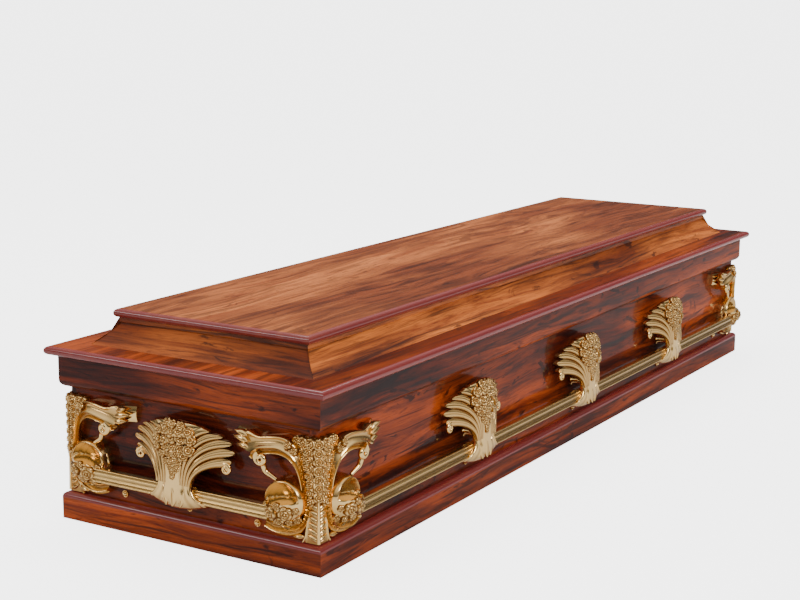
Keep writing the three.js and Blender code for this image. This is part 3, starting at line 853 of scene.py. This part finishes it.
def put(piece_name, points, faces, painted_shade, place, mirrored, replaced):
    """Places a carved form with a function of its points and makes it one gilt piece."""
    facing = faces[:, ::-1] if mirrored else faces
    made = make_piece(piece_name, place(points), facing, gold, replaced, CARVED_SHARP)
    add_painted_shade(made, painted_shade)


print("points of two roses:", len(gather_carved([rose((0, 0, 0), 8, 3), rose((20, 0, 0), 8, 3)])[0]))

# %% [markdown]
# ## Bar lugs
# A lug hangs from the wall like a vase of leaves. Five fluted leaf fingers sweep up and outward on
# each side of a heap of small roses, and the waist below runs smoothly out over the bar into a
# flared, beaded lip. The fan is one surface: every column of it is a curve that leaves the waist
# upright and bends over to its tip.

# %% The fan of fingers
LUG_FRONT = -wall_y - lug_low[1] - 2.0
LUG_FOOT = bar_z - 30.0
POST_UP = 27
FINGERS = 5
FAN_START = 0.30
FAN_WALL = 8.0
FAN_ROOT_HALF = 37
FAN_ROOT_UP = 50
FAN_TIPS = [[0, 160, 34], [34, 157, 33], [66, 147, 21], [98, 134, 11], [109, 112, 10], [98, 86, 13]]
fan_ends = smooth_line(FAN_TIPS, 200)
fan_share = np.linspace(0, 1, len(fan_ends))


def lug_fan():
    """Columns are quadratic curves that leave the waist upright and bend over to the tip, with flutes."""
    across = np.linspace(-1, 1, 201)[None, :]
    length = np.linspace(0, 1, 28)[:, None] ** 0.85
    far = np.abs(across)
    reach, rise, tip_out = (np.interp(far, fan_share, fan_ends[:, i]) for i in range(3))
    phase = np.clip((far - FAN_START) / (1 - FAN_START), 0, 1) * FINGERS
    ridge = np.abs(np.sin(np.pi * phase)) ** 0.75
    leafy = np.clip((far - FAN_START) * 12, 0, 1)
    t = length * (1 - 0.20 * (1 - ridge) ** 1.2 * leafy)
    root = FAN_ROOT_HALF * across
    along = root * (1 - t) ** 2 + 2.2 * root * t * (1 - t) + np.sign(across) * reach * t**2
    up = FAN_ROOT_UP * (1 - t) ** 2 + 2 * rise * t * (1 - t) + rise * t**2
    groove = bell(phase % 1, 0.5, 0.13) * leafy
    relief = leafy * (7.0 * (ridge - 0.8) * np.sqrt(length) - 1.2 * groove * np.sqrt(length))
    out = (LUG_FRONT - 3) * (1 - t**2) + tip_out * t**2 + relief + 4.0 * length**5 * leafy
    front = np.stack([along, out, up + LUG_FOOT], axis=-1)
    back = np.stack([along, np.maximum(out - FAN_WALL, SEAT), up + LUG_FOOT], axis=-1)
    # Painted shade in the valleys between the fingers and in their flutes
    painted_shade = np.clip(1.15 * (1 - ridge) * leafy + 0.6 * groove, 0, 1) * np.ones_like(along)
    return with_painted_shade(sheet(front, back), painted_shade)


print("faces of the fan:", len(lug_fan()[1]))

# %% The sleeve over the bar
def lug_sleeve():
    """Rows run from the waist down over the bar and curl under it; a bead follows both sides."""
    rows = smooth_line([
        [33, 74, 0, LUG_FRONT - 4, 8], [34, 62, 0, LUG_FRONT - 3, 8], [36, 44, 1, LUG_FRONT - 2, 8],
        [44, 28, 3, LUG_FRONT - 1, 8], [56, 14, 8, LUG_FRONT - 4, 9], [61, 4, 10, LUG_FRONT - 13, 6],
        [60, 0, 10, LUG_FRONT - 24, 2], [57, 1, 9, 18, 0],
    ], 44)
    half, up, lift, out, thick = (rows[:, i][:, None] for i in range(5))
    across = np.linspace(-1, 1, 61)[None, :]
    bead = bell(np.abs(across), 0.95, 0.05)
    flute = np.cos(2 * np.pi * 2.5 * np.abs(across)) * (np.abs(across) < 0.9) * (np.abs(across) > 0.3)
    share = np.linspace(0, 1, 44)[:, None]
    out_front = out - 7 * across**2 + 2.6 * bead + 1.5 * flute * np.clip(1 - share * 1.3, 0, 1)
    along = half * across
    height = LUG_FOOT + up + lift * across**2
    front = np.stack([along, out_front, height], axis=-1)
    inward = np.stack([along * 0.97, out_front - thick, height + 7 * (share > 0.7) * share], axis=-1)
    # Painted shade just inside the beads, lessened on the flutes' ridges
    painted_shade = np.clip(0.5 * bell(np.abs(across), 0.85, 0.04) - 0.4 * flute, 0, 1) * np.ones_like(along)
    return with_painted_shade(sheet(front, inward), painted_shade)


print("faces of the sleeve:", len(lug_sleeve()[1]))

# %% [markdown]
# The roses of the real lug lie in a heap that is widest above the middle and trails down to a point.
# Here they are laid in rows on the fan's dome. A seeded draw shifts, sizes and turns each one a little,
# so that no row shows, and each run gives the same heap.

# %% The heap of roses
FLOWER_ROWS = [
    (153, 22, 9.5), (143, 37, 11.0), (129, 44, 11.5), (115, 40, 11.0), (102, 30, 10.0),
    (90, 20, 9.0), (79, 12, 8.0), (69, 6, 7.0), (60, 0, 6.0),
]
LUG_SKIN = LUG_FRONT + 1.8


def lug_flowers():
    """Rows of roses (height, half width, radius) on the dome, smaller as the heap narrows to a trail."""
    draw = np.random.default_rng(7)
    roses = []
    for up, half, size in FLOWER_ROWS:
        count = max(1, int(round(2 * half / (size * 1.45))))
        for i in range(count):
            along = half * ((2 * i + 1) / count - 1) + draw.uniform(-1.5, 1.5)
            height = up + draw.uniform(-2.5, 2.5)
            t = np.clip((height - 50) / 110, 0, 1)
            rise = 0.58 * size
            out = min(LUG_FRONT + 2.5 - 12 * t**2 - along**2 / 200, LUG_FRONT + 1.5 - 1.2 * rise)
            normal = (along / 60, 1, 0.9 * t**2)
            radius = size * draw.uniform(0.9, 1.12)
            roses.append(rose((along, out, LUG_FOOT + height), radius, rise, draw.uniform(0, 6), normal))
    return roses


print("roses on a lug:", len(lug_flowers()))

# %% The whole lug, eight times
def lug_form():
    """The whole lug: fan, sleeve, roses, leaves, curled low fingers and the post, cut off at its front."""
    z = LUG_FOOT
    volute = curl((93, 18, z + 84), 9.5, 1.35, 1.9, 4.2, -1)
    middle_leaf = leaf((0, 49.4, z + 10), (0, 47.5, z + 48), 20, 2.8)
    side_leaves = [leaf((hand * 15, 48, z + 10), (hand * 23, 45.5, z + 44), 13, 2.8) for hand in (1, -1)]
    turn = np.linspace(0, 2 * np.pi, 16, endpoint=False)
    depth = np.array([SEAT, 4.0, 30.0, 40.0])[:, None] * np.ones(16)
    radius = np.array([14.0, 10.0, 8.0, 8.0])[:, None]
    post = pod(np.stack([radius * np.cos(turn), depth, radius * np.sin(turn) + bar_z + POST_UP], axis=-1))
    forms = [lug_fan(), lug_sleeve(), *lug_flowers(), middle_leaf, *side_leaves, volute, flip(volute)]
    points, faces, painted_shade = gather_carved([*forms, with_painted_shade(post, NO_PAINTED_SHADE)])
    points[:, 1] = np.minimum(points[:, 1], LUG_SKIN)
    return points, faces, painted_shade


lug_points, lug_faces, lug_painted_shade = lug_form()
print("lug: faces", len(lug_faces), "reach", lug_points.min(axis=0).round(1), lug_points.max(axis=0).round(1))
for side in SIDES:
    labels = [f"{side}_{i}" for i in (1, 2, 3)] if GRAIN_OF[side] == "x" else [side]
    for label in labels:
        middle = wall_place(f"bar_lug_{label}", side)[0]
        put(f"leaf_lug_{label}", lug_points, lug_faces, lug_painted_shade,
            lambda p, side=side, middle=middle: on_wall(side, middle + p[:, 0], p[:, 1], p[:, 2]),
            True, [f"bar_lug_{label}"])

# %% [markdown]
# ## Corner brackets
# One casting wraps each corner. A band runs up the corner, thick with roses above and a palmette leaf
# below. From it a fluted C-scroll springs out along each wall, ends in a curled leaf, and comes round
# at the foot to hold a cup: a mirror-bright scoop with a nest of roses, which is the bar's socket.

# %% The scroll
BRACKET_FOOT = bracket_low[2]
BAND_THICK = 5.0
SCROLL_RAILS = [
    [(121, 138, 27), (126, 150, 30), (140, 176, 24)],
    [(112, 136, 29), (116, 150, 32), (126, 183, 27)],
    [(95, 147, 31), (100, 158, 34), (103, 178, 29)],
    [(78, 151, 31), (82, 162, 34), (80, 181, 29)],
    [(60, 151, 28), (62, 164, 32), (58, 182, 27)],
    [(46, 145, 24), (45, 158, 29), (40, 176, 24)],
    [(34, 131, 20), (29, 144, 24), (27, 158, 19)],
    [(27, 111, 17), (20, 121, 20), (20, 128, 14)],
    [(24, 90, 15), (15, 94, 18), (15, 97, 11)],
    [(24, 68, 14), (13, 69, 17), (13, 69, 9)],
    [(29, 50, 15), (16, 47, 18), (15, 43, 9)],
    [(41, 38, 18), (27, 27, 20), (25, 20, 10)],
    [(59, 32, 22), (47, 18, 22), (45, 9, 11)],
    [(79, 31, 26), (72, 15, 23), (70, 7, 12)],
    [(97, 36, 26), (95, 20, 21), (92, 13, 13)],
]


def wing_scroll():
    """Three rails carry the scroll; between them the face dips in a hollow, deeper on the inner side."""
    rails = [smooth_line([station[i] for station in SCROLL_RAILS], 120) for i in range(3)]
    across = np.linspace(0, 1, 41)
    inner_share = np.clip(across * 2, 0, 1)[None, :, None]
    outer_share = np.clip(across * 2 - 1, 0, 1)[None, :, None]
    surface = (rails[0][:, None] * (1 - inner_share) + rails[1][:, None] * inner_share * (1 - outer_share)
               + rails[2][:, None] * outer_share)
    hollow = np.sin(np.pi * np.where(across < 0.5, across * 2, across * 2 - 1)) ** 1.5
    depth = np.where(across < 0.5, 9.0, 6.0)
    edge = 2.5 * np.clip(1 - np.minimum(across, 1 - across) / 0.05, 0, 1) ** 2
    fine = 0.3 * np.cos(2 * np.pi * 2 * (across * 2 - 1)) * (across > 0.55) * (across < 0.97)
    out = surface[..., 2] - (hollow * depth + edge - fine)[None, :]
    front = np.stack([surface[..., 0], out, BRACKET_FOOT + surface[..., 1]], axis=-1)
    back = front.copy()
    back[..., 1] = SEAT
    # Painted shade in the scroll's hollows, deeper on the inner one
    painted_shade = (hollow * np.where(across < 0.5, 0.75, 0.5))[None, :] * np.ones((120, 1))
    return with_painted_shade(sheet(front, back), painted_shade)


print("faces of the scroll:", len(wing_scroll()[1]))

# %% The band and the cup
def wing_band():
    """The band's half on one wall: its edge follows the measured waist, with a rounded bead along it."""
    heights = np.array([0, 10, 36, 71, 98, 118, 146, 177, 184])
    edges = np.array([30, 24, 19, 18, 18, 21, 30, 40, 42])
    up = np.linspace(0, 184, 60)[:, None]
    edge = np.interp(up, heights, edges)
    across = np.linspace(0, 1, 25)[None, :]
    bead = 2.8 * bell(across, 0.9, 0.07)
    out = BAND_THICK + bead - 4.0 * np.clip((across - 0.96) / 0.04, 0, 1)
    along = -BAND_THICK * (1 - across) + edge * across
    front = np.stack([along, out * np.ones_like(along), (BRACKET_FOOT + up) * np.ones_like(along)], axis=-1)
    back = np.stack([np.maximum(along, -SEAT), SEAT * np.ones_like(along), front[..., 2]], axis=-1)
    # Painted shade on the band away from its bead
    painted_shade = 0.75 * (1 - bell(across, 0.9, 0.12)) * np.ones_like(along)
    return with_painted_shade(sheet(front, back), painted_shade)


CUP_ALONG = 55.0
CUP_UP = 69.0
CUP_HALF_ALONG = 40.0
CUP_HALF_UP = 41.0
CUP_RISE = 40.0
CUP_LIP = 0.87


def wing_cup():
    """A dome on an ellipse; above its middle it is hollowed to a bowl with a thin, rounded lip."""
    share = np.concatenate([np.linspace(0.03, 0.84, 22), np.linspace(0.87, 1.0, 9)])[:, None]
    angle = np.linspace(0, 2 * np.pi, 72, endpoint=False)[None, :]
    along = CUP_HALF_ALONG * share * np.cos(angle)
    up = CUP_HALF_UP * share * np.sin(angle)
    dome = 4 + CUP_RISE * np.sqrt(np.clip(1 - share**2, 0, 1))
    hollow = 9 + 17 * (share / CUP_LIP) ** 2.2
    lip = 26 * np.sqrt(np.clip(1 - ((share - CUP_LIP) / 0.135) ** 2, 0, 1))
    bowl = np.where(share < CUP_LIP, hollow, lip)
    blend = np.clip((up - 1 + 0.12 * along) / 5, 0, 1)
    blend = blend**2 * (3 - 2 * blend)
    out = np.maximum(dome * (1 - blend) + bowl * blend, 1.0)
    rings = np.stack([CUP_ALONG + along, out, BRACKET_FOOT + CUP_UP + up], axis=-1)
    last = rings[-1].copy()
    last[:, 1] = SEAT
    rings = np.concatenate([rings, last[None], (last * 0.5 + last.mean(axis=0) * 0.5)[None]])
    # Painted shade inside the bowl of the cup
    painted_shade = np.zeros(rings.shape[:2])
    painted_shade[:len(share)] = 0.25 * blend
    return with_painted_shade(pod(rings), painted_shade)


print("faces of the band and the cup:", len(wing_band()[1]), len(wing_cup()[1]))

# %% The roses of the nest and the band
# The nest's roses: place along the wall, height above the bracket's foot, and radius
NEST = [
    (39, 57, 14), (68, 54, 14), (54, 40, 10), (54, 68, 7), (85, 44, 8),
    (28, 42, 8), (70, 36, 8), (84, 63, 7), (25, 60, 7), (40, 38, 7),
]
NEST_FRONT = 48.5
BAND_ROSE_ROWS = 8
BAND_ROSE_PITCH = 14.4
BAND_ROSE_RADIUS = 10.0
ROOT_ROSES = ((34, 20, 160), (43, 24, 171))


def wing_roses():
    """Roses in the cup's nest, down the band and filling the angle between band and scroll."""
    draw = np.random.default_rng(3)
    roses = []
    for along, up, size in NEST:
        radial = ((along - CUP_ALONG) / CUP_HALF_ALONG) ** 2 + ((up - CUP_UP) / CUP_HALF_UP) ** 2
        out = min(5 + CUP_RISE * math.sqrt(max(1 - radial, 0.05)), NEST_FRONT - 0.7 * size)
        normal = ((along - CUP_ALONG) / 45, 1, (up - CUP_UP) / 60)
        radius = size * draw.uniform(0.94, 1.06)
        roses.append(rose((along, out, BRACKET_FOOT + up), radius, radius * 0.55, draw.uniform(0, 6), normal))
    for row in range(BAND_ROSE_ROWS):
        up = 175 - row * BAND_ROSE_PITCH
        edge = float(np.interp(up, [71, 98, 118, 146, 177], [15, 15, 18, 31, 44]))
        count = 1 + int(edge > 22) + int(edge > 38)
        for i in range(count):
            along = 4 + (edge - 4) * (i + 0.45) / count + draw.uniform(-1.5, 1.5)
            radius = BAND_ROSE_RADIUS * draw.uniform(0.9, 1.12)
            centre = (along, BAND_THICK + 0.5, BRACKET_FOOT + up + draw.uniform(-2, 2))
            roses.append(rose(centre, radius, radius * 0.85, draw.uniform(0, 6)))
    for along, out, up in ROOT_ROSES:
        roses.append(rose((along, out, BRACKET_FOOT + up), 8.0, 6.0, draw.uniform(0, 6), (0, 1, 0.4)))
    return roses


print("roses on a wing:", len(wing_roses()))

# %% The leaves
PALMETTE_LEAVES = 6


def wing_leaves():
    """The curled leaf at the scroll's tip, the palmette's leaflets, sprigs by the nest and the foot leaf."""
    z = BRACKET_FOOT
    tips = [
        ((126, 25, z + 174), (150, 24, z + 182), 11),
        ((124, 27, z + 165), (156, 20, z + 171), 13),
        ((122, 27, z + 154), (149, 20, z + 158), 12),
    ]
    leaves = [leaf(base, tip, width, 5.0, 3.0) for base, tip, width in tips]
    for i in range(PALMETTE_LEAVES):
        up = z + 4 + i * 11.0
        leaves.append(leaf((-3, BAND_THICK, up), (17 - i * 0.6, BAND_THICK, up + 11), 9.5, 3.4, 1.0))
    sprigs = [
        ((96, 12, z + 62), (84, 14, z + 96), 9, 3.0),
        ((92, 12, z + 24), (98, 12, z + 52), 9, 3.0),
        ((38, 14, z + 18), (66, 16, z + 26), 10, 3.5),
        ((22, 8, z + 10), (44, 10, z + 8), 9, 3.0),
    ]
    return leaves + [leaf(*sprig) for sprig in sprigs]


print("leaves on a wing:", len(wing_leaves()))

# %% One wing and the crest
def wing_form():
    """One wing: band, scroll, cup, roses, leaves, the curl with its stem and the pad at the tip."""
    z = BRACKET_FOOT
    hook = curl((98, 25, z + 139), 11.5, 1.25, 1.2, 6.2, -1)
    stem_path = smooth_line([(93, 25, z + 128), (89, 24, z + 118), (80, 22, z + 112), (70, 20, z + 106)], 20)
    stem = with_painted_shade(tube(stem_path, np.linspace(5.4, 3.4, 20)), NO_PAINTED_SHADE)
    share = np.linspace(0, 1, 14)[:, None]
    up = np.linspace(0, 1, 9)[None, :]
    pad_along = 128 + 30 * share * np.ones_like(up)
    pad_up = z + 154 + 28 * up * np.ones_like(share)
    pad_out = 24 - 16 * share**0.6 - 3 * (2 * up - 1) ** 2
    pad_front = np.stack([pad_along, pad_out, pad_up], axis=-1)
    pad_back = pad_front.copy()
    pad_back[..., 1] = SEAT
    pad = with_painted_shade(sheet(pad_front, pad_back), NO_PAINTED_SHADE)
    carved = [wing_band(), wing_scroll(), wing_cup(), *wing_roses(), *wing_leaves()]
    return gather_carved([*carved, hook, stem, pad])


CREST_ROSES = 7
CREST_PITCH = 15.2


def corner_crest():
    """The palmette's rib on the corner itself, and roses that face out over the corner above it."""
    rib_path = smooth_line([(-BAND_THICK, BAND_THICK, BRACKET_FOOT + up) for up in (2, 25, 50, 74)], 24)
    rib = with_painted_shade(tube(rib_path, np.linspace(3.0, 1.6, 24)), NO_PAINTED_SHADE)
    draw = np.random.default_rng(5)
    roses = []
    for i in range(CREST_ROSES):
        centre = (-BAND_THICK + 1.5, BAND_THICK - 1.5, BRACKET_FOOT + 83 + i * CREST_PITCH)
        roses.append(rose(centre, 10.4, 7.0, draw.uniform(0, 6), (-1, 1, 0)))
    return gather_carved([rib, *roses])


# %% [markdown]
# A bracket is the same wing twice, folded about the corner, and one crest of roses on the corner
# itself. The four brackets are that form turned by quarters, as castings from one mould would be.

# %% Four brackets
wing = wing_form()
crest = corner_crest()
print("wing: faces", len(wing[1]), "reach", wing[0].min(axis=0).round(1), wing[0].max(axis=0).round(1))


def folded(form):
    """A form drawn as (along, out, up) on the wall that runs along x from the corner."""
    points, faces, painted_shade = form
    return points * np.array([1, -1, 1]), faces[:, ::-1], painted_shade


def folded_across(form):
    """The same form on the wall that runs along y from the corner."""
    points, faces, painted_shade = form
    return points[:, [1, 0, 2]] * np.array([-1, 1, 1]), faces, painted_shade


# Each corner's signs along x and y, and the cosine and sine of its turn
CORNERS = {
    "front_left": (-1, -1, 1, 0),
    "front_right": (1, -1, 0, 1),
    "back_right": (1, 1, -1, 0),
    "back_left": (-1, 1, 0, -1),
}
points, faces, painted_shade = gather_carved([folded(wing), folded_across(wing), folded(crest)])
for corner, (sign_x, sign_y, cosine, sine) in CORNERS.items():
    turned = np.stack([
        sign_x * wall_x + cosine * points[:, 0] - sine * points[:, 1],
        sign_y * wall_y + sine * points[:, 0] + cosine * points[:, 1],
        points[:, 2],
    ], axis=-1)
    put(f"scroll_bracket_{corner}", turned, faces, painted_shade, lambda p: p, False,
        [f"corner_bracket_{corner}"])

# %% [markdown]
# ## Screw caps
# Small domed caps with a rolled rim hide the fixing screws under the bars.

# %% Caps
CAP_RADIUS = 6.6
CAP_SHARP = 60
cap_turn = np.linspace(0, 2 * np.pi, 28, endpoint=False)[None, :]
cap_reach = CAP_RADIUS * np.array([1.0, 1.0, 0.94, 0.84, 0.76, 0.7, 0.55, 0.35, 0.15])[:, None]
cap_along = cap_reach * np.cos(cap_turn)
cap_up = cap_reach * np.sin(cap_turn)
cap_out = np.array([SEAT, 1.8, 2.8, 2.8, 2.0, 3.4, 5.2, 6.4, 6.8])[:, None] * np.ones_like(cap_along)
cap_nodes = sorted(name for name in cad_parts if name.startswith("screw_cap"))
for label in cap_nodes:
    side = label.split("_")[2]
    middle, _, height = wall_place(label, side)
    points, faces = pod(on_wall(side, middle + cap_along, cap_out, height + cap_up))
    cap = make_piece(f"domed_{label}", points, faces, gold, [label], CAP_SHARP)
    add_painted_shade(cap, np.zeros(len(cap.data.vertices)))
print("caps:", len(cap_nodes))

# %% [markdown]
# ## Floor, light and background
# The coffin stands on a plain pale floor, lit by large soft boxes, as in a catalogue picture. The
# background is white, but the gilt and the lacquer need something darker to mirror, so reflections
# see a soft grey gradient instead.

# %% Floor
FLOOR_REACH = 150.0
FLOOR_GLOW = 3.6
SKY_GLOW = 3.2
MIRROR_SHADES = [(0.0, 0.30), (0.10, 0.05), (0.35, 0.16), (0.8, 1.0)]


def direct_share(tree, strength):
    """A strength that is nothing to bounced and mirrored rays, so that the pale stage lights nothing."""
    path = node(tree, "ShaderNodeLightPath", (-900, 500))
    diffuse, glossy = path.outputs["Is Diffuse Ray"], path.outputs["Is Glossy Ray"]
    bounced = math_node(tree, "ADD", diffuse, glossy, (-700, 500))
    kept = math_node(tree, "SUBTRACT", 1.0, bounced, (-500, 500))
    return math_node(tree, "MULTIPLY", kept, strength, (-300, 500))


def make_floor():
    """A large plain floor just under the coffin."""
    mesh = bpy.data.meshes.new("floor")
    corners = [(x * FLOOR_REACH, y * FLOOR_REACH, 0) for x, y in PLAN_CORNERS.tolist()]
    mesh.from_pydata(corners, [], [(0, 1, 2, 3)])
    material = bpy.data.materials.new("pale floor")
    material.use_nodes = True
    shader = material.node_tree.nodes["Principled BSDF"]
    shader.inputs["Base Color"].default_value = (0.55, 0.55, 0.55, 1)
    shader.inputs["Roughness"].default_value = 0.6
    shader.inputs["Emission Color"].default_value = (1, 1, 1, 1)
    tree = material.node_tree
    tree.links.new(direct_share(tree, FLOOR_GLOW), shader.inputs["Emission Strength"])
    mesh.materials.append(material)
    floor = bpy.data.objects.new("floor", mesh)
    bpy.context.scene.collection.objects.link(floor)


make_floor()
print("floor reaches", FLOOR_REACH, "m each way")

# %% World
def make_world():
    """White to the camera, dimmer white to diffuse light; mirrored rays see a grey gradient instead."""
    world = bpy.data.worlds.new("studio")
    bpy.context.scene.world = world
    world.use_nodes = True
    tree = world.node_tree
    tree.nodes.clear()
    out = node(tree, "ShaderNodeOutputWorld", (600, 0))
    plain = node(tree, "ShaderNodeBackground", (200, 100))
    plain.inputs["Color"].default_value = (1, 1, 1, 1)
    brightness = math_node(tree, "ADD", direct_share(tree, SKY_GLOW), 1.0, (0, 300))
    tree.links.new(brightness, plain.inputs["Strength"])
    mirror = node(tree, "ShaderNodeBackground", (200, -100))
    direction = node(tree, "ShaderNodeTexCoord", (-600, -100))
    height = node(tree, "ShaderNodeSeparateXYZ", (-400, -100))
    tree.links.new(direction.outputs["Generated"], height.inputs[0])
    shade = ramp_node(tree, height.outputs["Z"], MIRROR_SHADES, (-200, -100))
    tree.links.new(shade, mirror.inputs["Color"])
    path = node(tree, "ShaderNodeLightPath", (-200, 300))
    mix = node(tree, "ShaderNodeMixShader", (400, 0))
    tree.links.new(path.outputs["Is Glossy Ray"], mix.inputs[0])
    tree.links.new(plain.outputs[0], mix.inputs[1])
    tree.links.new(mirror.outputs[0], mix.inputs[2])
    tree.links.new(mix.outputs[0], out.inputs[0])


make_world()
print("world:", bpy.context.scene.world.name)

# %% Soft boxes
def soft_box(name, place, target, size, power):
    """A square area light at a place, aimed at a target."""
    data = bpy.data.lights.new(name, "AREA")
    data.shape = "RECTANGLE"
    data.size, data.size_y = size
    data.energy = power
    light = bpy.data.objects.new(name, data)
    light.location = place
    light.rotation_euler = (Vector(target) - Vector(place)).to_track_quat("-Z", "Y").to_euler()
    bpy.context.scene.collection.objects.link(light)


# Each soft box: its place, its target, its length and width in metres, and its watts
SOFT_BOXES = {
    "key box": ((-2.2, -4.2, 3.2), (0, 0, 0.2), (2.4, 1.4), 130),
    "top box": ((0.3, 0.6, 3.6), (0, 0, 0.3), (3.0, 1.2), 90),
    "rim box": ((-4.2, 2.6, 2.0), (-0.6, 0, 0.2), (1.4, 1.0), 28),
}
for box_name, box in SOFT_BOXES.items():
    soft_box(box_name, *box)
print("soft boxes:", len(SOFT_BOXES))
